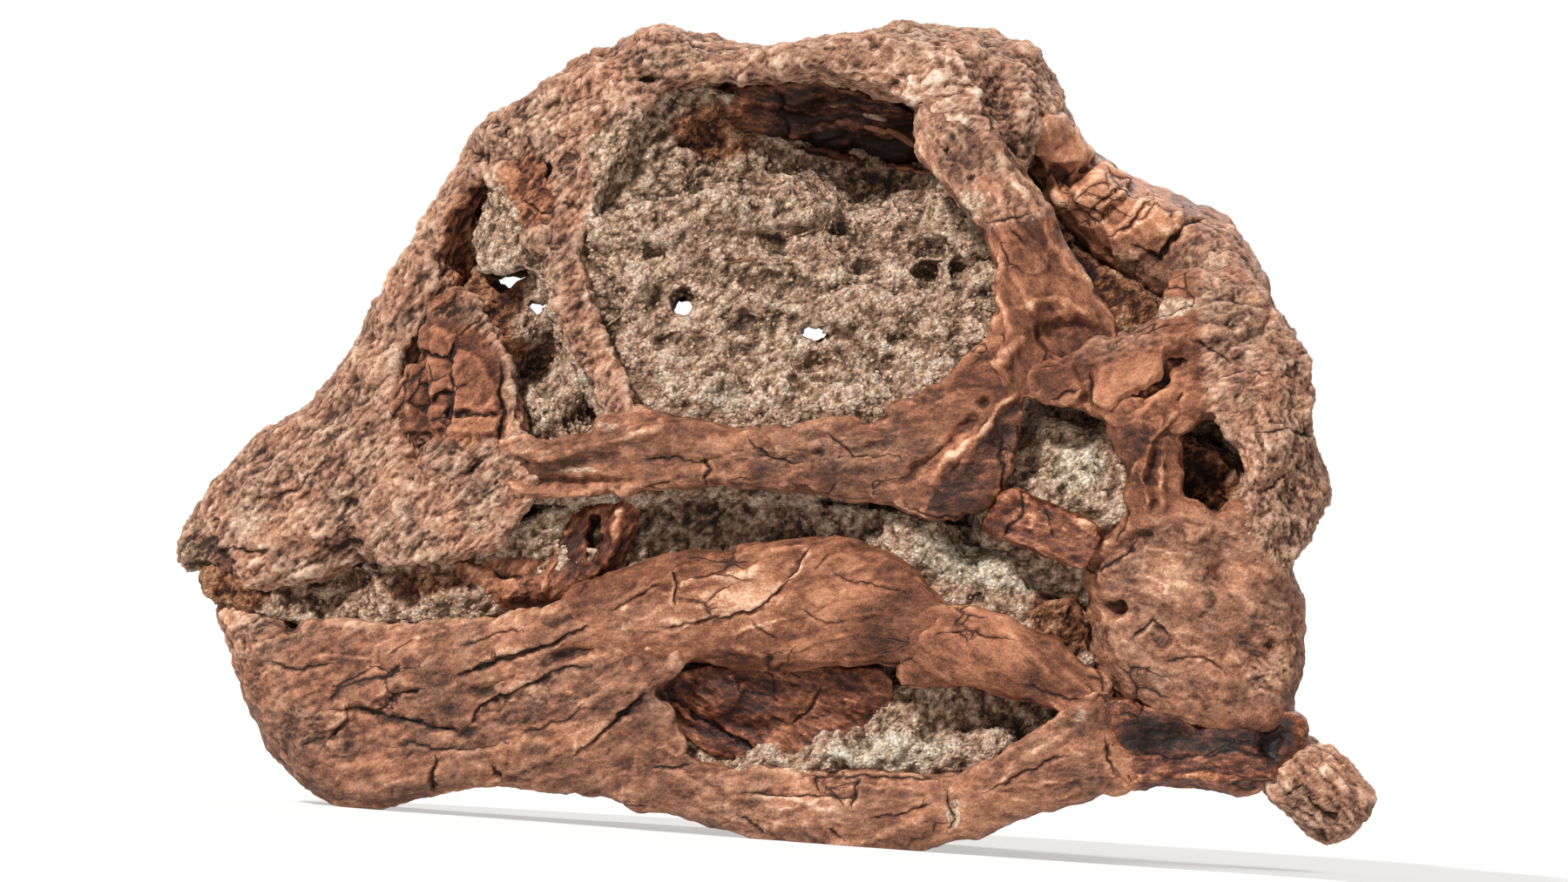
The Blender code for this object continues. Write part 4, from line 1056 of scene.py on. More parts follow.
# %% Sand in the snout
# small heaps round the gap that light falls through
describe("sandstone_snout", "sandstone", flush=1.0, flow=-40,
    face=levels(
        (57, 24, 1.5), (57.5, 27, 1.5), (58, 31, 5), (63, 29, 7), (56, 36, 11.5), (60, 33, 11),
        (64, 36, 10.5), (59, 39.4, 13.5), (61.5, 41.5, 6), (66, 45, 13), (62.5, 47, 14.5),
        (58, 46, 7), (69.5, 45.8, 6), (66, 52, 15), (58, 51, 9), (70, 51, 14), (50, 40, 9),
        (48, 52, 8)),
    forms=[
        mound(1.4, (57.8, 39.4), 3.2, 1.8, -35), mound(-2.0, (60.2, 42.6), 2.4, 2.4, edge=0.2),
        mound(1.4, (62.8, 47), 4, 3.8), mound(-1.6, (69.6, 45.8), 1.4, 1.6, edge=0.3),
        mound(1.0, (62, 31.6), 3, 2), ridge(-2.0, 0.7, (61.5, 29.1), (64.9, 32.1)),
        ridge(-1.5, 0.6, (57.7, 44), (57.8, 52))],
    cracks=[],
    tones=[
        mound(-0.6, (61, 42.5), 3, 3), mound(-0.3, (60, 34), 5, 5),
        mound(-1.0, (58, 26), 4, 6, edge=0.5)],
    warm=[mound(0.9, (55, 32), 7, 9, edge=0.5), mound(0.7, (58, 40), 4, 3)])

# %% Sand in the cheek
# a pale lump in a grey frame
describe("sandstone_cheek", "sandstone", lap=0, flush=1.0, flow=-30,
    face=levels(
        (116.5, 48, 26), (118, 56, 26), (123, 50.5, 26.4), (123, 56, 26.4), (127, 57, 26),
        (129.5, 54, 26), (128, 49.5, 25.5), (121, 47.5, 25.5), (124.8, 46.2, 15), (128, 66, 24),
        (124, 61, 24.5), (138, 58, 21), (142, 58, 22)),
    pulls=[(-2.2, -2.6, mound(1, (118.6, 49), 5, 5)), (1.0, -1.6, mound(1, (128, 49), 4, 4))],
    forms=[
        mound(1.2, (123.6, 54), 3.4, 3.2, -20), mound(-0.7, (118, 52), 1.6, 4),
        ridge(0.8, 0.5, (117.4, 47), (116.6, 55)), ridge(0.6, 0.4, (120, 57), (126, 52.4)),
        mound(-2.5, (124.4, 47), 1.4, 1.2, edge=0.3)],
    cracks=[], warm=[mound(1, (138.6, 54), 6, 8, edge=0.5)],
    # painted shade: the dark tone at the deep hole behind the cheek
    tones=[mound(-0.3, (117.6, 52), 2, 4.6), mound(-0.8, (137, 54.4), 3, 6, edge=0.3)],
    sand=[mound(1.0, (123.6, 53.4), 4.4, 4, edge=0.3)])

# %% Sand in the mouth
# dark and recessed in front, with painted shade under the cheek bar, cream towards the rear
describe("sandstone_mouth", "sandstone", flush=1.0, flow=-8,
    face=levels(
        (26, 66.5, 5), (30, 69, 7), (35, 68, 5.5), (38, 66.6, 5), (45, 67.5, 9), (51, 68, 11),
        (57, 68.6, 11), (60, 69.6, 9), (62, 60, 14), (66, 66, 12), (73, 60, 12), (78, 58.6, 13),
        (88, 58.6, 15), (97, 60, 18.5), (106, 62, 22.5), (116, 66, 23.5), (112, 60.6, 17),
        (120, 64.2, 15), (126, 67, 17), (108, 69.6, 21), (105.6, 73, 19), (123, 70, 24),
        (116, 70.6, 23), (72, 66, 14)),
    forms=[
        mound(-1.0, (36, 69.6), 2.6, 2, edge=0.1), mound(0.9, (52, 68.6), 4, 2),
        mound(-0.9, (37.6, 66.2), 2.6, 1.2), mound(0.8, (110.5, 64), 6, 2.2, 20),
        mound(-1.2, (112, 68.8), 1.0, 0.8, edge=0.2), mound(-0.9, (100, 61), 2, 1),
        mound(0.8, (90, 60.4), 8, 1.6), mound(-1.2, (106.4, 71.6), 1.6, 3, 35),
        mound(0.8, (121, 69.4), 3, 2.4)],
    cracks=[],
    tones=[
        # painted shade: the tones at 80 and 95 along, under the cheek bar
        mound(-0.5, (80, 59), 8, 3), mound(-0.6, (30, 68), 12, 4), mound(-0.2, (95, 59.6), 8, 2),
        mound(-0.3, (123, 70.5), 4, 4)],
    sand=[mound(1.0, (110.6, 64.6), 9, 3.4, 20, edge=0.4), mound(0.7, (118, 67.6), 3, 2)],
    warm=[
        mound(0.9, (123, 71), 6, 6, edge=0.4), mound(0.5, (48, 67), 10, 3),
        mound(0.9, (24, 68), 8, 4, edge=0.5)])

# %% Sand in the jaw
# a cream heap at the opening's lower rear corner
describe("sandstone_jaw", "sandstone", flush=1.0, flow=-20,
    face=levels(
        (76, 79, 11), (82, 79, 11), (90, 78, 11), (97, 79, 12), (84, 83, 11), (92, 82, 12),
        (80, 87, 15), (88, 88, 18.5), (96, 87, 20), (104, 86.8, 22), (110, 88, 22.5),
        (102, 81, 18), (106, 82, 19.5), (112, 82, 18), (117, 82, 18), (119, 84, 19), (114, 86, 21),
        (100, 76.6, 14)),
    forms=[
        mound(1.0, (100, 86.6), 8, 2, -5), mound(-1.0, (115, 83), 2.4, 3),
        mound(0.8, (107, 80), 3, 2, -30), ridge(-0.8, 0.6, (76, 81), (82, 85.6), (90, 87.6))],
    cracks=[],
    tones=[
        mound(0.3, (102, 86.6), 11, 3, -5), mound(-0.4, (117, 82), 3, 4),
        mound(-0.3, (100, 80), 4, 3), mound(-0.4, (78, 84), 3, 3)],
    sand=[mound(1.0, (102, 86.6), 11, 3, -5, edge=0.4)])

# %% Braincase
# reddish rock at the bottom of the openings behind the cheek
describe("braincase", "sandstone", flush=1.0, flow=20, reach=7.0,
    face=levels(
        (118, 22, 9), (124, 27, 9), (128, 31, 11), (133, 35, 15), (139, 38, 18), (126, 40, 17),
        (120, 34, 13), (134.6, 51, 15), (136.6, 54.4, 8), (139, 52.6, 15), (139, 57, 14.5),
        (142, 50, 19), (142.4, 56, 19), (138.4, 48, 17)),
    forms=[mound(-1.0, (124, 30.5), 5, 2.4, 42)], cracks=[],
    tones=[mound(-0.7, (124.6, 30), 6, 3, 42, edge=0.2)], warm=[mound(0.8, (132, 35), 30, 20)])

# %% [markdown]
# ## What each finish is
# Fossil bone is one stone from dark to pale. It could be painted from pictures, but a ramp of
# five colours is simpler: it runs from dark to pale, and relief, drawn stains and random
# mottling all push the colour along it. Relief paints shade into the bone's hollows, on top of
# the stain there, and a highlight onto its worn crests. Sand grains cling where the preparator
# stopped.

# %% Patterns in the stone
NOISES = {  # name: what it follows, millimetres of its bumps, detail, roughness
    "patches": ("place", 7.0, 6.0, 0.5),
    "mottle": ("grain", 1.5, 7.0, 0.75),
    "fibre": ("grain", 0.6, 5.0, 0.7),
    "speck": ("place", 0.26, 3.0, 0.75),  # finer in real stone: coarse enough here to show
    "drift": ("place", 0.9, 2.0, 0.5),
    "dust": ("place", 3.2, 7.0, 0.7),
}
SAND_GRAIN = 0.42  # millimetres across
TAGS = ("tone", "crest", "crack", "split", "warm", "wear", "cover", "gloss")
RAMP = (0.0, 0.25, 0.5, 0.75, 1.0)  # where the five tints of a stone lie
MIRRORING = 0.28  # how much the stones mirror, about half of what polished stone does


def per_mm(size):
    """The scale that gives a texture features about this many millimetres wide."""
    return 1 / (size * MM)


def layered(tree, *layers):
    """Adds up layers. Each starts with a value, which may be followed by the range that it is
    moved from, the range that it is moved to, and what it is multiplied by in the end."""
    total = None
    for value, *ends in layers:
        if ends:
            value = add_node(tree, "ShaderNodeMapRange", {
                "Value": value, **dict(zip((1, 2, 3, 4), ends))}).outputs[0]
        if len(ends) > 4:
            value = add_node(tree, "ShaderNodeMath", {0: value, 1: ends[4]},
                             operation="MULTIPLY").outputs[0]
        total = value if total is None else add_node(
            tree, "ShaderNodeMath", {0: total, 1: value}, operation="ADD").outputs[0]
    return total


def tints(*codes):
    return [colour(code) for code in codes]


SAND = tints("#45342A", "#917358", "#C7A388", "#E0C6AC", "#F3E7D6")
CREAM = tints("#69543F", "#AC957A", "#D6C0A5", "#E8D6BF", "#F5EBDB")
ORANGE = tints("#2A140B", "#643A26", "#9C6447", "#C08562", "#E4BB9C")
RUST = tints("#26140C", "#59321E", "#8A5737", "#B0805E", "#D4B291")
BONE = tints("#1F0F08", "#482616", "#75452D", "#A57050", "#E0B898")
ROUGH_BONE = tints("#28170F", "#614132", "#946B54", "#B88E75", "#E1C7AF")
DARK_BONE = tints("#120603", "#2D1208", "#512613", "#84492B", "#C9946F")
print("patterns", ", ".join(NOISES), "and a grain of sand of", SAND_GRAIN, "mm")

# %% [markdown]
# ## How one stone is mixed
# All four finishes are the same stone in other states, so one function makes them. It reads the
# marks that each piece carries on its corners: how stained, worn, cracked, orange, sandy or
# glossy the bone is there, and how far each corner stands above or below its neighbours, which
# is painted as highlight on crests and as shade in hollows. Grain runs along the bone, as the
# noises that follow it are squeezed along its fibres.

# %% Materials
def stone(name, tints, warm, cover, *, grit, fibres, chip, chips, roughness, glossy, bump_depth):
    """A fossil material: tints run from dark, for stain and painted shade, to pale, for wear and
    painted highlight; warm is its orange variant, cover the sand on it. grit and fibres say how
    strongly its mottles and fibres show, chip how many millimetres wide its chips are and chips how
    strongly they show."""
    made = bpy.data.materials.new(name)
    made.use_nodes = True
    tree = made.node_tree
    finish = tree.nodes["Principled BSDF"]
    tags = {tag: add_node(tree, "ShaderNodeAttribute", attribute_name=tag).outputs["Fac"]
            for tag in TAGS}
    place = add_node(tree, "ShaderNodeTexCoord").outputs["Object"]
    grain = add_node(tree, "ShaderNodeAttribute", attribute_name="grain").outputs["Vector"]
    noises = {kind: add_node(tree, "ShaderNodeTexNoise", {
        "Vector": grain if follows == "grain" else place, "Scale": per_mm(size),
        "Detail": detail, "Roughness": rough}).outputs
        for kind, (follows, size, detail, rough) in NOISES.items()}
    patches, mottle, fibre, speck = (
        noises[kind]["Fac"] for kind in ("patches", "mottle", "fibre", "speck"))

    # chips, whose borders wander, and grains of sand
    shift = add_node(tree, "ShaderNodeVectorMath", {
        0: noises["drift"]["Color"], 1: (chip * 0.9 * MM,) * 3}, operation="MULTIPLY").outputs[0]
    drifting = add_node(tree, "ShaderNodeVectorMath", {0: grain, 1: shift}).outputs[0]
    flakes = add_node(tree, "ShaderNodeTexVoronoi", {
        "Vector": drifting, "Scale": per_mm(chip)}).outputs
    grains = add_node(tree, "ShaderNodeTexVoronoi", {
        "Vector": place, "Scale": per_mm(SAND_GRAIN)}).outputs
    flake_value, grain_value = (add_node(
        tree, "ShaderNodeSeparateColor", {0: cells["Color"]}).outputs[0]
        for cells in (flakes, grains))

    # how far along its ramp the stone is, and the four ramps
    chipped = layered(tree, (tags["wear"], 0.0, 1.0, chips, max(chips, 0.55)))
    # the crest layer paints shade into hollows and a highlight onto crests, besides stain and wear
    shade = layered(
        tree, (tags["tone"], -1.0, 1.0, 0.12, 0.88), (tags["crest"], -1.0, 1.0, -0.40, 0.26),
        (mottle, 0.3, 0.7, -grit, grit), (fibre, 0.3, 0.7, -fibres, fibres),
        (patches, 0.3, 0.7, -0.13, 0.13), (speck, 0.25, 0.75, -0.17, 0.17),
        (flake_value, 0.0, 1.0, -0.17, 0.17, chipped),
        # chip borders: painted shade in the gaps between chips
        (flakes["Distance"], 0.45, 0.8, 0.05, -0.26, chipped))
    fresh, worn, orange, sandy = (
        add_node(tree, "ShaderNodeValToRGB", {"Fac": shade}, stops=list(zip(RAMP, row))).outputs[0]
        for row in (tints, ROUGH_BONE, warm, cover))

    # laid over each other: dust on worn bone, worn on fresh, orange patches, clinging sand
    dusty = layered(tree, (noises["dust"]["Fac"], 0.46, 0.64, 0.0, 0.75))
    warmth = layered(tree, (patches,), (tags["warm"],), (mottle, 0.3, 0.7, -0.15, 0.15))
    warmth = layered(tree, (warmth, 0.42, 0.95, 0.0, 1.0))
    clinging = layered(tree, (mottle,), (tags["cover"],), (tags["crest"], -1.0, 1.0, 0.2, -0.2))
    covered = layered(tree, (clinging, 0.86, 1.0, 0.0, 1.0))
    laid = worn
    for share, under, over in ((dusty, None, sandy), (tags["wear"], fresh, None),
                               (warmth, None, orange), (covered, None, sandy)):
        laid = add_node(tree, "ShaderNodeMix", {0: share, 6: under or laid, 7: over or laid},
                        data_type="RGBA").outputs[2]

    # sand is a bed of grains, each with its own brightness, and painted shade darkens each towards
    # its border
    beady = layered(tree, (grains["Distance"], 0.1, 0.62, 0.16, -0.24),
                    (grain_value, 0.0, 1.0, 0.66, 1.30))
    loose = add_node(tree, "ShaderNodeMath", {0: covered, 1: float(name == "sandstone")},
                     operation="MAXIMUM").outputs[0]
    speckled = add_node(tree, "ShaderNodeMix", {0: 1.0, 6: laid, 7: beady}, data_type="RGBA",
                        blend_type="MULTIPLY").outputs[2]
    laid = add_node(tree, "ShaderNodeMix", {0: loose, 6: laid, 7: speckled},
                    data_type="RGBA").outputs[2]

    # cracks: a hairline where the two plates part, wider or narrower from speck to speck
    apart = add_node(tree, "ShaderNodeMath", {0: tags["split"]}, operation="ABSOLUTE").outputs[0]
    line = layered(tree, (apart,), (tags["crack"], 0.35, 0.6, 0.0, 4.0),
                   (speck, 0.2, 0.8, 0.5, -0.5))
    line = layered(tree, (line, 0.4, 1.5, 0.22, 1.0))
    inked = add_node(tree, "ShaderNodeMix", {0: 1.0, 6: laid, 7: line}, data_type="RGBA",
                     blend_type="MULTIPLY").outputs[2]
    tree.links.new(inked, finish.inputs["Base Color"])

    # gloss where resin sank in, none on sand
    shine = layered(tree, (tags["gloss"], 0.0, 1.0, roughness, glossy))
    shine = layered(tree, (shine,), (tags["wear"], 0.0, 1.0, 0.0, 0.2))
    dull = add_node(tree, "ShaderNodeMath", {0: covered, 1: shine}, operation="MAXIMUM").outputs[0]
    uneven = layered(tree, (mottle, 0.3, 0.7, 0.84, 1.16, dull))
    tree.links.new(uneven, finish.inputs["Roughness"])
    finish.inputs["Specular IOR Level"].default_value = MIRRORING

    # fine relief: fibres, specks, grains, cracks, chips and mottles
    height = layered(
        tree, (fibre, 0.0, 1.0, 0.0, 0.5), (speck,),
        (grains["Distance"], 0.0, 0.7, 0.8, 0.0, loose),
        (line, 0.22, 1.0, -0.5, 0.0), (flakes["Distance"], 0.3, 0.8, 0.7, 0.0, chipped),
        (mottle, 0.2, 0.8, 0.0, 0.7))
    bump = add_node(tree, "ShaderNodeBump", {
        "Height": height, "Distance": bump_depth * MM, "Strength": 1.0}).outputs[0]
    tree.links.new(bump, finish.inputs["Normal"])
    return made


FINISHES = {
    # smooth outer bone, hardened with thin resin: red-brown with a soft gloss
    "fossil_bone": stone(
        "fossil_bone", BONE, ORANGE, SAND, grit=0.15, fibres=0.07, chip=1.3, chips=0.22,
        roughness=0.54, glossy=0.32, bump_depth=0.22),
    # spongy bone that lost its outer skin: dull, tan, all chips and pits
    "rough_fossil_bone": stone(
        "rough_fossil_bone", BONE, ORANGE, SAND, grit=0.15, fibres=0.07, chip=0.7, chips=0.22,
        roughness=0.6, glossy=0.4, bump_depth=0.30),
    # iron-stained bone: near black, with painted shade deepest in its hollows, and the strongest
    # gloss
    "dark_fossil_bone": stone(
        "dark_fossil_bone", DARK_BONE, ORANGE, SAND, grit=0.20, fibres=0.20, chip=1.3, chips=0.25,
        roughness=0.45, glossy=0.34, bump_depth=0.14),
    # loosely bound sand: dull grains, with painted shade in the gaps between them
    "sandstone": stone(
        "sandstone", SAND, RUST, CREAM, grit=0.20, fibres=0.0, chip=0.9, chips=0.35,
        roughness=0.92, glossy=0.8, bump_depth=0.42),
}
print("finishes", ", ".join(FINISHES))

# %% [markdown]
# ## Gaps that light falls through
# In a few places the sand has fallen out right through the skull, and the light behind shows.
# Gaps like these could be modelled in the solid, but their edges have to crumble with the sand,
# so a cutter is taken away from it before it gets its grain. The cutter widens towards the far
# side, because an even one would be closed again by the relief of its own walls.

# %% Where light falls through
LIGHT_HOLES = {  # body: chart places (along, down) and half sizes of the gaps in its sand
    "sandstone_orbit": [(78.5, 35.6, 0.9, 0.8), (93.2, 38.3, 1.8, 0.9), (83.3, 36.2, 0.4, 0.4)],
    "sandstone_snout": [(58.6, 30.4, 1.3, 2.4), (61.9, 35.3, 1.3, 0.9)],
}
FUNNEL = [(-24.0, 1.1), (-9.0, 1.1), (2.0, 2.6), (24.0, 5.0)]  # depth, what it adds to the gap


def tube(name, rings):
    """A closed mesh drawn over rings of corners, from the first ring to the last."""
    bm = bmesh.new()
    rings = [[bm.verts.new(corner) for corner in ring] for ring in rings]
    for near, far in zip(rings, rings[1:]):
        for index in range(len(near)):
            bm.faces.new((near[index - 1], near[index], far[index], far[index - 1]))
    bm.faces.new(rings[0])
    bm.faces.new(rings[-1])
    bmesh.ops.recalc_face_normals(bm, faces=bm.faces)
    mesh = bpy.data.meshes.new(name)
    bm.to_mesh(mesh)
    bm.free()
    return mesh


def funnel(along, down, half_width, half_height):
    """A cutter along the line of sight: narrow on the skull's left, wide on its right."""
    turns = np.linspace(0, 2 * math.pi, 13)[:-1]
    return tube("funnel", [[place_of(
        along + (half_width + extra) * math.cos(turn),
        down + (half_height + extra) * math.sin(turn), depth) * MM for turn in turns]
        for depth, extra in FUNNEL])


def pierced(mesh, holes):
    """The mesh with a funnel cut through it at each of these places."""
    for hole in holes:
        body, cutter = placed("body", mesh), placed("cutter", funnel(*hole))
        cut = body.modifiers.new("cut", "BOOLEAN")
        # Here each is a small function of the chart, which gives millimetres of relief, or a share
        # of a stain, painted shade or painted highlight, at every place, and a bone's list of them
        # is added up.
        cut.operation, cut.solver, cut.object = "DIFFERENCE", "EXACT", cutter
        fresh = evaluated_mesh(body)
        for thing in (body, cutter):
            bpy.data.objects.remove(thing)
        bpy.data.meshes.remove(mesh)
        mesh = fresh
    return mesh


print("gaps", sum(len(holes) for holes in LIGHT_HOLES.values()))

# %% [markdown]
# ## Grain and cracks
# Bone splits along its fibres and flakes off in plates, spongy bone crumbles into knobs and
# pits, and sand lies in rounded heaps. A bump map alone would leave every outline smooth, so
# this relief moves the mesh itself. It is noise of several sizes, squeezed along the bone.

# %% Grain
RELIEF = {  # finish: millimetres of slow waves, knobs, crags, fibres, flakes, chips, pits, grains
    "fossil_bone": (0.22, 0.06, 0.0, 0.04, 0.20, 0.04, 0.07, 0.0),
    "rough_fossil_bone": (0.45, 0.13, 0.27, 0.05, 0.27, 0.24, 0.05, 0.0),
    "dark_fossil_bone": (0.20, 0.08, 0.10, 0.14, 0.14, 0.05, 0.08, 0.0),
    "sandstone": (0.85, 0.58, 0.0, 0.0, 0.0, 0.0, 0.30, 0.16),
}
# how many millimetres wide each kind of relief is
WAVE, KNOB, CRAG, FIBRE, FLAKE, CHIP, PIT, BEAD = 6.0, 2.2, 2.1, 1.3, 3.0, 1.1, 1.7, 0.95
CLINGING_BEAD = 0.16  # how far a sand grain stands out of the bone that it clings to
STRETCH = 2.6  # how much longer than wide the fibres and splinters of bone are
HAIRLINE = 0.05  # half width of a fine crack, in millimetres
CRACK_DEPTH, SHATTER_DEPTH = 0.12, 0.25  # of a random crack, and what shattered bone adds


def along_grain(points, along, down, turn, stretch):
    """Coordinates that are squeezed along the bone's fibres, so that noise in them is long."""
    cos, sin = math.cos(math.radians(turn)), math.sin(math.radians(turn))
    across = down * cos - along * sin
    return np.stack([(along * cos + down * sin) / stretch, across, points[:, 1]], 1)


def wander(points, size, *seeds):
    """Noise to shift places by: one column for each seed."""
    return np.stack([noise(points, size, seed) for seed in seeds], 1)


def rubble(points, size, octaves, seed):
    """Rounded knobs with sharp clefts between, on a bed of plain noise."""
    return fractal(points, size, octaves, seed, rough=0.62, shape=billow) * 0.6 + 0.6 * fractal(
        points, size * 1.3, octaves, seed + 7, rough=0.62)


def add_bone(total, points, grain, wear, shatter, crag, fibre, flake, chip):
    """Adds what bone has and sand has not, and says how far the nearest random crack is."""
    bent = grain + 0.5 * wander(points, 1.8, 17, 18, 19)
    total += crag * fractal(bent, CRAG, 4, seed=13, rough=0.66, shape=ridged)
    total += fibre * fractal(grain, FIBRE, 3, seed=11, rough=0.6, shape=ridged)
    bent = grain + 0.25 * wander(points, 1.4, 27, 28, 29)
    border, _, value = cell_borders(bent, CHIP, seed=6)
    total += chip * (value * 0.7 + 0.5) * smoothstep(0.0, 0.28, border)
    bent = grain + 0.4 * wander(points, 2.4, 21, 22, 23)
    bent += 0.12 * wander(points, 0.8, 24, 25, 26)
    border, split, value = cell_borders(bent, FLAKE, seed=5)
    shut = smoothstep(0.45, 0.1, noise(points, 7.0, 31) + shatter - 0.5 * wear)
    total += flake * value * smoothstep(0.0, 0.3, border)
    gap, split = np.minimum(1.0, border + shut), split / HAIRLINE + shut * 4 * np.sign(split)
    depth = CRACK_DEPTH + SHATTER_DEPTH * np.clip(shatter, 0, 1)
    total -= depth * np.exp(-(gap / 0.2) ** 2)
    return gap, split


def relief_of(points, grain, finish, wear, cover, shatter):
    """Random relief in millimetres, then how far the nearest random crack is, plain and signed."""
    sound = np.array(RELIEF["fossil_bone" if finish == "rough_fossil_bone" else finish])
    worn = np.array(RELIEF["rough_fossil_bone"])
    blend = sound[:, None] + (worn - sound)[:, None] * wear
    wave, knob, crag, fibre, flake, chip, pit, bead = blend
    total = wave * fractal(points, WAVE, 3, seed=3) + knob * rubble(points, KNOB, 4, seed=61)
    gap, split = np.full(len(points), 1.0), np.full(len(points), 4.0)
    if finish != "sandstone":
        gap, split = add_bone(total, points, grain, wear, shatter, crag, fibre, flake, chip)
    near, _, value = cell_noise(points, PIT, seed=8)
    total -= pit * smoothstep(0.7, 0.2, near) * (value > 0.2)
    beads = bead + CLINGING_BEAD * (bead == 0) * smoothstep(0.3, 0.7, cover)
    if beads.max() > 0:
        near, _, value = cell_noise(points, BEAD, seed=9)
        total += beads * (0.6 + 0.4 * value) * smoothstep(0.65, 0.1, near)
    return total, gap, split


print("relief of bone and of sand, mm:", RELIEF["fossil_bone"], RELIEF["sandstone"])

# %% [markdown]
# ## From solid to stone
# Each solid is made again from even quads, swollen by the width of the joints and drawn out to
# the skull's side. Then its marks from the chart are pressed in, it is made again, finer, and
# gets its grain. The right side reads the same chart folded over, shifted by a slow drift, so
# the two sides match as real ones do, without being mirror copies.

# %% Where a mark lands
DRIFT = 1.8  # millimetres by which the right side's marks wander


def ragged_chart(points):
    """Chart places shaken a little, so that drawn marks get the uneven edges of breaks."""
    along, down = chart_of(points)
    shake = 0.55 * wander(points, 2.6, 41, 43) + 0.28 * wander(points, 0.9, 42, 44)
    right = smoothstep(0.0, 3.0, points[:, 1])
    drift = DRIFT * wander(points, 16.0, 51, 52)
    return along + shake[:, 0] + right * drift[:, 0], down + shake[:, 1] + right * drift[:, 1]


def side_of(points, normals):
    """-1 on the skull's left, 1 on its right, and how far the surface faces that way."""
    side = np.where(points[:, 1] < 0, -1.0, 1.0)
    return side, normals[:, 1] * side


def tag(mesh, name, values, kind="FLOAT", field="value"):
    """Leaves values on the mesh's corners, for its material to read."""
    attribute = mesh.attributes.new(name, kind, "POINT")
    attribute.data.foreach_set(field, values.astype(np.float32).ravel())


def bone_of(node):
    return node.removesuffix("_left").removesuffix("_right")


print("marks on the right side wander by up to", DRIFT, "mm")

# %% [markdown]
# ## Seams between bones
# Bones of a skull lap over each other like tiles, and the seam is only a line. Solids that are
# packed side by side have a groove there instead. So where a neighbour is near, each bone is
# drawn over it by a millimetre, and both are brought to the same level.

# %% Lap a bone over its neighbours
LAP, LAP_REACH, LOOSE_VOXEL = 1.2, 4.0, 0.8  # overlap, how near a neighbour is, and the first mesh
FLUSH_REACH = 2.5  # millimetres by which a seam is brought out or in at most
JAW = ("dentary", "surangular_front", "surangular_rear", "angular", "articular")
SKULL = [bone for bone, look in BONES.items()
         if bone not in JAW and "lap" not in look and look["finish"] != "sandstone"]


def beside(node, points, outward):
    """1 where a bone of the same jaw is near, 0 from LAP_REACH on; then 1 where it lies outward."""
    group = JAW if bone_of(node) in JAW else SKULL
    corners, faces = [], []
    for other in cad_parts:
        if other != node and bone_of(other) in group:
            mesh = merged_copy(other)
            faces += [[len(corners) + index for index in face.vertices] for face in mesh.polygons]
            corners += [vertex.co / MM for vertex in mesh.vertices]
            bpy.data.meshes.remove(mesh)
    tree = BVHTree.FromPolygons(corners, faces)
    found = [tree.find_nearest(Vector(point), LAP_REACH)[0] for point in points]
    ways = np.array([place if place else (1e3, 1e3, 1e3) for place in found]) - points
    gaps = np.linalg.norm(ways, axis=1)
    return smoothstep(LAP_REACH, 0.8, gaps), smoothstep(0.1, 0.6, (ways * outward).sum(1) / gaps)


def drawn_out(node, look):
    """The solid's mesh, lapped over its neighbours, pulled like clay and flush with them."""
    mesh = remeshed(merged_copy(node), LOOSE_VOXEL)
    points, normals = points_of(mesh), normals_of(mesh)
    outward = normals * [1, 0, 1]
    outward /= np.linalg.norm(outward, axis=1)[:, None] + 1e-6
    near, ahead = beside(node, points, outward)
    near *= look.get("lap", 1)
    rim = 1 - smoothstep(0.35, 0.85, np.abs(normals[:, 1]))
    points += outward * (LAP * near * ahead * rim)[:, None]
    for right, fall, mark in look.get("pulls", []):
        share = mark(*chart_of(points))
        points[:, 0] += right * share
        points[:, 2] -= fall * share
    side, facing = side_of(points, normals)
    reach = side_depth(*chart_of(points)) - np.abs(points[:, 1])
    reach = np.clip(reach, -FLUSH_REACH, FLUSH_REACH)
    points[:, 1] += side * reach * near * smoothstep(-0.1, 0.4, facing)
    set_points(mesh, points)
    return mesh


print("bones of the jaw", len(JAW), "and of the skull", len(SKULL))

# %% [markdown]
# ## The form of a piece
# First come the large marks. The piece is swollen to fill the joints, with a frayed rim, then
# its side is brought to the level that bone or sand has there, and the drawn ledges, lumps and
# hollows are added. All of them move corners, so an even mesh has to come before.

# %% Form one piece
SWELL = {"fossil_bone": 0.32, "rough_fossil_bone": 0.32, "dark_fossil_bone": 0.30,
         "sandstone": 0.50}
FRAY, SAND_RIM = 0.6, 0.4  # millimetres by which a bone's broken rim wanders, and sand's swells
RIGHT_VOXEL, LEFT_VOXEL, MIDDLE_VOXEL, SAND_VOXEL = 0.58, 0.29, 0.35, 0.48  # quads, millimetres
BONE_REACH = (-1.2, 1.7)  # how far in and out a bone's side is brought to its level
SAND_REACH = (-9.0, 4.5)  # the same for a face of sand


def voxel_for(node, finish):
    """Quads are fine on the left, coarse on the right, and in between on what spans both."""
    if node.endswith("_right"):
        return RIGHT_VOXEL
    if node.endswith("_left"):
        return LEFT_VOXEL
    return SAND_VOXEL if finish == "sandstone" else MIDDLE_VOXEL


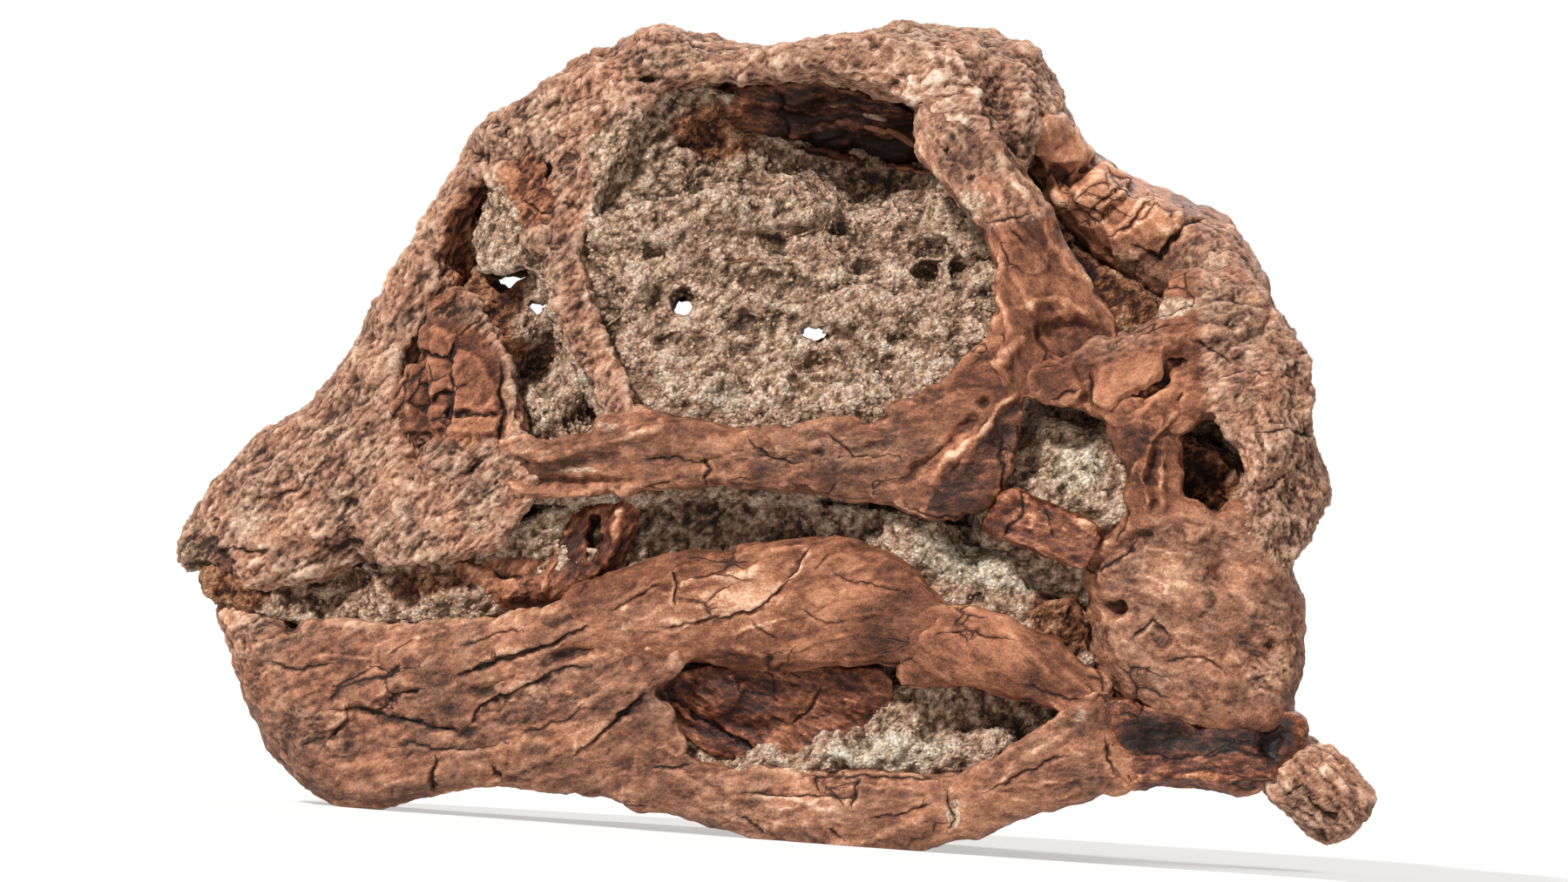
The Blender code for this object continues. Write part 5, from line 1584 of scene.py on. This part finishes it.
def formed(node, look):
    """The solid made again with its rim, its level and the large marks from the chart."""
    finish = look["finish"]
    if finish == "sandstone" and "pulls" not in look:
        mesh = pierced(merged_copy(node), LIGHT_HOLES.get(node, []))
    else:
        mesh = drawn_out(node, look)
    mesh = remeshed(mesh, voxel_for(node, finish))
    points, normals = points_of(mesh), normals_of(mesh)
    rim = 1 - smoothstep(0.25, 0.75, np.abs(normals[:, 1]))
    frayed = noise(points, 5.0, 71) * 0.8 + noise(points, 2.0, 72) * 0.7 + 0.45
    swell = SWELL[finish] + rim * (FRAY * frayed if finish != "sandstone" else SAND_RIM)
    points = relaxed(points + normals * swell[:, None], edges_of(mesh), 5)
    set_points(mesh, points)
    normals = normals_of(mesh)
    side, facing = side_of(points, normals)
    along, down = ragged_chart(points)
    level, (inwards, outwards) = side_depth, BONE_REACH
    if "face" in look:
        level, (inwards, outwards) = look["face"], SAND_REACH
        outwards = look.get("reach", outwards)
    reach = np.clip(level(along, down) - np.abs(points[:, 1]), inwards, outwards)
    points[:, 1] += side * reach * look["flush"] * smoothstep(0.12, 0.55, facing)
    points += normals * (added(look["forms"], along, down) * smoothstep(0.0, 0.4, facing))[:, None]
    set_points(mesh, points)
    return mesh


print("quads on the left", LEFT_VOXEL, "mm, on the right", RIGHT_VOXEL, "mm")

# %% [markdown]
# ## The surface of a piece
# The formed piece is made again, because marks stretch its quads. Then the small things come:
# grain, drawn cracks and what the material reads. A corner that stands above its smoothed
# neighbours is a crest, painted pale as highlight and wear, and one that lies below them is
# painted dark as shade and dirt.

# %% Surface of one piece
LOWEST = 0.02  # millimetres above the table: no grain of the jaw goes through it
FINE_CREST, BROAD_CREST = 7, 1.6  # how strongly narrow and wide crests count


def cracked(look, relief, gap, split, shown, along, down):
    """The relief and the cracks' distances with the drawn cracks added."""
    for half_width, depth, *line in look["cracks"]:
        away, below, share = line_gap(along, down, line)
        away = away + 3.0 * (shown < 0.5)
        width = np.maximum(half_width * 0.4 * tapering(share), 0.02)
        groove = np.exp(-(np.maximum(away - width, 0) / 0.17) ** 2)
        relief -= 0.45 * depth * groove * tapering(share)
        split = np.where(away < gap, away * below / width, split)
        gap = np.minimum(gap, away)
    return relief, gap, split


def surfaced(mesh, look):
    """The mesh made again with its grain, its cracks and the marks that its material reads."""
    finish = look["finish"]
    points, edges = relaxed(points_of(mesh), edges_of(mesh), 1), edges_of(mesh)
    set_points(mesh, points)
    normals = normals_of(mesh)
    _, facing = side_of(points, normals)
    along, down = ragged_chart(points)
    shown = smoothstep(-0.1, 0.3, facing)
    drawn = {kind: added(look.get(kind, []), along, down)
             for kind in ("wear", "sand", "shatter", "tones", "warm", "gloss")}
    wear = np.clip(drawn["wear"] + (finish == "rough_fossil_bone"), 0, 1)
    wear *= finish != "sandstone"
    stretch = 1.0 if finish == "sandstone" else look.get("stretch", STRETCH)
    grain = along_grain(points, *chart_of(points), look["flow"], stretch)
    patchy = smoothstep(-0.3, 0.4, noise(points, 4.0, 81))
    cover = shown * drawn["sand"]
    cover += 0.35 * wear * smoothstep(0.5, 0.0, np.abs(facing)) * patchy
    relief, gap, split = relief_of(points, grain, finish, wear, cover, shown * drawn["shatter"])
    relief, gap, split = cracked(look, relief, gap, split, shown, along, down)
    points += normals * relief[:, None]
    points[:, 2] = np.maximum(points[:, 2], LOWEST)
    set_points(mesh, points)
    normals = normals_of(mesh)
    fine = ((points - relaxed(points, edges, 3)) * normals).sum(1)
    broad = ((points - relaxed(points, edges, 24)) * normals).sum(1)
    # crest: above the smoothed neighbours it is painted pale as highlight, below them dark as shade
    tag(mesh, "crest", np.clip(fine * FINE_CREST + broad * BROAD_CREST, -1, 1))
    tag(mesh, "crack", np.clip(gap, 0, 1))
    tag(mesh, "split", np.clip(split, -4, 4))
    tag(mesh, "tone", np.clip(shown * drawn["tones"], -1, 1))
    tag(mesh, "warm", shown * drawn["warm"])
    tag(mesh, "wear", wear)
    tag(mesh, "cover", cover)
    tag(mesh, "gloss", np.clip(shown * drawn["gloss"], 0, 1))
    tag(mesh, "grain", grain * MM, "FLOAT_VECTOR", "vector")


def dress(node):
    """The finished piece for a solid: its form, its surface and its material."""
    look = BONES[bone_of(node)]
    finish = look["finish"]
    mesh = remeshed(formed(node, look), voxel_for(node, finish))
    surfaced(mesh, look)
    mesh.materials.clear()
    mesh.materials.append(FINISHES[finish])
    mesh.shade_smooth()
    piece = placed("fossil_" + node, mesh)
    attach(piece, "root")
    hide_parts(node)
    return piece

# %% Dress every solid
PIECES = {}
for node in sorted(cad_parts):
    PIECES[node] = dress(node)
    print(node, len(PIECES[node].data.polygons) * 2, "triangles")
print("in all", sum(len(piece.data.polygons) * 2 for piece in PIECES.values()))

# %% [markdown]
# ## Roots and splinters
# Thin fossil roots cross the sand of the eye opening, and slivers of bone lie in its upper rear
# corner. A curve with a round bevel would float over the rough sand, so each is a six-sided rod
# whose middle line is dropped on the sand, place by place, and which sinks in at its ends.

# %% Roots and splinters
# name, its finish, thickness in millimetres, and the chart places that it runs through
STRANDS = [
    ("root_long", "sandstone", 0.30, (69.4, 37.6), (70.4, 36.9), (71.4, 36.1), (72.1, 35),
     (72.6, 34.1), (74, 32.9), (76.2, 32)),
    ("root_short", "sandstone", 0.24, (80.1, 28.1), (81, 27.8), (81.7, 27.4)),
    ("root_orange", "fossil_bone", 0.30, (83.6, 30.2), (85.3, 29.9), (87.3, 29.6)),
    ("root_middle", "sandstone", 0.26, (90.2, 27.5), (92.2, 26.9), (94.2, 26.1)),
    ("root_high", "sandstone", 0.24, (99, 23.9), (100.3, 22.9), (101.8, 21.7)),
    ("splinter_pale", "sandstone", 0.7, (99, 13.1), (100.4, 13.4), (101.8, 13.8)),
    ("splinter_orange", "fossil_bone", 0.8, (99.2, 14.5), (100.6, 14.8), (102, 15.3)),
    ("splinter_pink", "rough_fossil_bone", 0.9, (101.8, 14.8), (103.6, 15.7), (105.3, 17)),
]
GROUND_BODIES = ("sandstone_orbit", "orbit_roof")
DROP_FROM = -60.0  # depth from which a strand is dropped on the sand, clear of the skull's side
LIFT = 0.35  # how far a strand's middle stands above the sand, as a share of its thickness
END_WIDTH = 0.35  # how thick its ends are, as a share of its middle
TOWARDS_RIGHT = Vector((0, 1, 0))


def ground_at(along, down, trees):
    """The first point of the sand that is seen at this chart place."""
    start, end = (Vector(place_of(along, down, depth) * MM) for depth in (DROP_FROM, 0.0))
    hits = [tree.ray_cast(start, (end - start).normalized())[0] for tree in trees]
    return min((hit for hit in hits if hit), key=lambda hit: hit.y)


def strand(name, finish, thick, *line):
    """A root or splinter: a thin six-sided rod that tapers to its ends and follows the sand."""
    share = np.linspace(0, 1, 2 * len(line) + 5)
    along, down = (np.interp(share, np.linspace(0, 1, len(line)), [place[axis] for place in line])
                   for axis in (0, 1))
    spine = [ground_at(a, d, GROUND) for a, d in zip(along, down)]
    rings = []
    for index, point in enumerate(spine):
        ahead = spine[min(index + 1, len(spine) - 1)] - spine[max(index - 1, 0)]
        out = ahead.cross(TOWARDS_RIGHT).normalized()
        bulge = math.sin(math.pi * share[index]) ** 0.5
        wide = thick / 2 * MM * (END_WIDTH + (1 - END_WIDTH) * bulge)
        middle = point - Vector((0, LIFT * thick * MM, 0))
        rings.append([middle + wide * (out * math.cos(turn) + TOWARDS_RIGHT * math.sin(turn))
                      for turn in (math.pi * corner / 3 for corner in range(6))])
    mesh = tube(name, rings)
    for mark, value in (("crack", 1.0), ("split", 4.0), ("tone", 0.4)):
        tag(mesh, mark, np.full(len(mesh.vertices), value))
    mesh.materials.append(FINISHES[finish])
    piece = placed("fossil_" + name, mesh)
    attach(piece, "root")
    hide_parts("sandstone_orbit")


GROUND = []
for node in GROUND_BODIES:
    mesh = PIECES[node].data
    GROUND.append(BVHTree.FromPolygons(
        [vert.co for vert in mesh.vertices], [face.vertices for face in mesh.polygons]))
for row in STRANDS:
    strand(*row)
print("strands", len(STRANDS))

# %% [markdown]
# ## Loose grains
# A prepared face of sand is never clean: single grains stand on it. They are scattered with
# Geometry Nodes, so a density, two sizes and a seed make thousands of them, and each takes the
# stains of the sand that it lies on. Each grain is a low, battered ball of a few faces.

# %% One grain
BATTERED = 0.55  # how far a grain's corners are shifted, as a share of its radius


def pebble():
    """One grain a millimetre wide: a low ball with shifted corners."""
    bm = bmesh.new()
    bmesh.ops.create_icosphere(bm, subdivisions=1, radius=0.5 * MM)
    corners = np.array([vert.co for vert in bm.verts]) / MM
    shifts = 1 + BATTERED * noise(corners, 0.5, seed=91)
    for vert, shift in zip(bm.verts, shifts):
        vert.co *= shift
    mesh = bpy.data.meshes.new("pebble")
    bm.to_mesh(mesh)
    bm.free()
    return mesh


GRAIN = bpy.data.objects.new("pebble", pebble())
print("faces of one grain", len(GRAIN.data.polygons))

# %% Grain scatter
SCATTER_INPUTS = (
    ("Surface", "NodeSocketGeometry"), ("Grain", "NodeSocketObject"),
    ("Per area", "NodeSocketFloat"), ("Smallest", "NodeSocketFloat"),
    ("Largest", "NodeSocketFloat"), ("Seed", "NodeSocketInt"))
FULL_TURN = 6.3  # radians


def scatter_tree(finish):
    """Nodes that leave out the face they are given and lay grains all over it."""
    tree = bpy.data.node_groups.new("loose_grains", "GeometryNodeTree")
    for name, kind in SCATTER_INPUTS:
        tree.interface.new_socket(name, in_out="INPUT", socket_type=kind)
    tree.interface.new_socket("Grains", in_out="OUTPUT", socket_type="NodeSocketGeometry")
    given = add_node(tree, "NodeGroupInput").outputs
    share = add_node(tree, "GeometryNodeInputNamedAttribute", {"Name": "strewn"},
                     data_type="FLOAT").outputs["Attribute"]
    density = add_node(tree, "ShaderNodeMath", {0: given["Per area"], 1: share},
                       operation="MULTIPLY").outputs[0]
    strewn = add_node(tree, "GeometryNodeDistributePointsOnFaces", {
        "Mesh": given["Surface"], "Density": density, "Seed": given["Seed"]}).outputs
    lit = add_node(tree, "FunctionNodeRandomValue", {2: -0.7, 3: 0.8, "Seed": given["Seed"]},
                   data_type="FLOAT").outputs[1]
    stained = add_node(tree, "GeometryNodeStoreNamedAttribute", {
        "Geometry": strewn["Points"], "Name": "crest", "Value": lit},
        data_type="FLOAT", domain="POINT").outputs[0]
    size = add_node(tree, "FunctionNodeRandomValue", {
        2: given["Smallest"], 3: given["Largest"], "Seed": given["Seed"]},
        data_type="FLOAT").outputs[1]
    turn = add_node(tree, "FunctionNodeRandomValue", {
        0: (0.0,) * 3, 1: (FULL_TURN,) * 3, "Seed": given["Seed"]},
        data_type="FLOAT_VECTOR").outputs[0]
    one = add_node(tree, "GeometryNodeObjectInfo", {"Object": given["Grain"]}).outputs["Geometry"]
    laid = add_node(tree, "GeometryNodeInstanceOnPoints", {
        "Points": stained, "Instance": one, "Rotation": turn, "Scale": size}).outputs[0]
    whole = add_node(tree, "GeometryNodeRealizeInstances", {"Geometry": laid}).outputs[0]
    made = add_node(tree, "GeometryNodeSetMaterial", {
        "Geometry": whole, "Material": finish}).outputs[0]
    add_node(tree, "NodeGroupOutput", {"Grains": made})
    return tree


SCATTER = scatter_tree(FINISHES["sandstone"])
print("nodes in the scatter", len(SCATTER.nodes))

# %% Strew the grains
RIGHT_SHARE = 0.2  # grains on the right side for each one on the left
STREWN = [  # body of sand, grains per square millimetre, smallest and largest, seed
    ("sandstone_orbit", 0.9, 0.2, 0.55, 1),
    ("sandstone_snout", 0.6, 0.2, 0.6, 2),
    ("sandstone_cheek", 0.5, 0.2, 0.5, 3),
    ("sandstone_mouth", 0.5, 0.2, 0.55, 4),
    ("sandstone_jaw", 0.4, 0.2, 0.5, 5),
]


def strew(node, per_area, smallest, largest, seed):
    """Grains over a face of sand, dense on the left side and sparse on the right."""
    ground = PIECES[node].data.copy()
    _, facing = side_of(points_of(ground), normals_of(ground))
    left = smoothstep(1.0, -1.0, points_of(ground)[:, 1])
    share = RIGHT_SHARE + (1 - RIGHT_SHARE) * left
    tag(ground, "strewn", smoothstep(0.0, 0.3, facing) * share)
    carrier = placed("fossil_grains_" + node, ground)
    nodes = carrier.modifiers.new("grains", "NODES")
    nodes.node_group = SCATTER
    values = {"Grain": GRAIN, "Per area": per_area / MM ** 2, "Smallest": smallest,
              "Largest": largest, "Seed": seed}
    for socket in SCATTER.interface.items_tree:
        if socket.in_out == "INPUT" and socket.name in values:
            nodes[socket.identifier] = values[socket.name]
    grains = evaluated_mesh(carrier)
    carrier.modifiers.clear()
    carrier.data = grains
    bpy.data.meshes.remove(ground)
    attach(carrier, "root")
    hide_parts(node)
    return carrier


for row in STREWN:
    carrier = strew(*row)
    print(carrier.name, len(carrier.data.polygons), "triangles")
bpy.data.objects.remove(GRAIN)
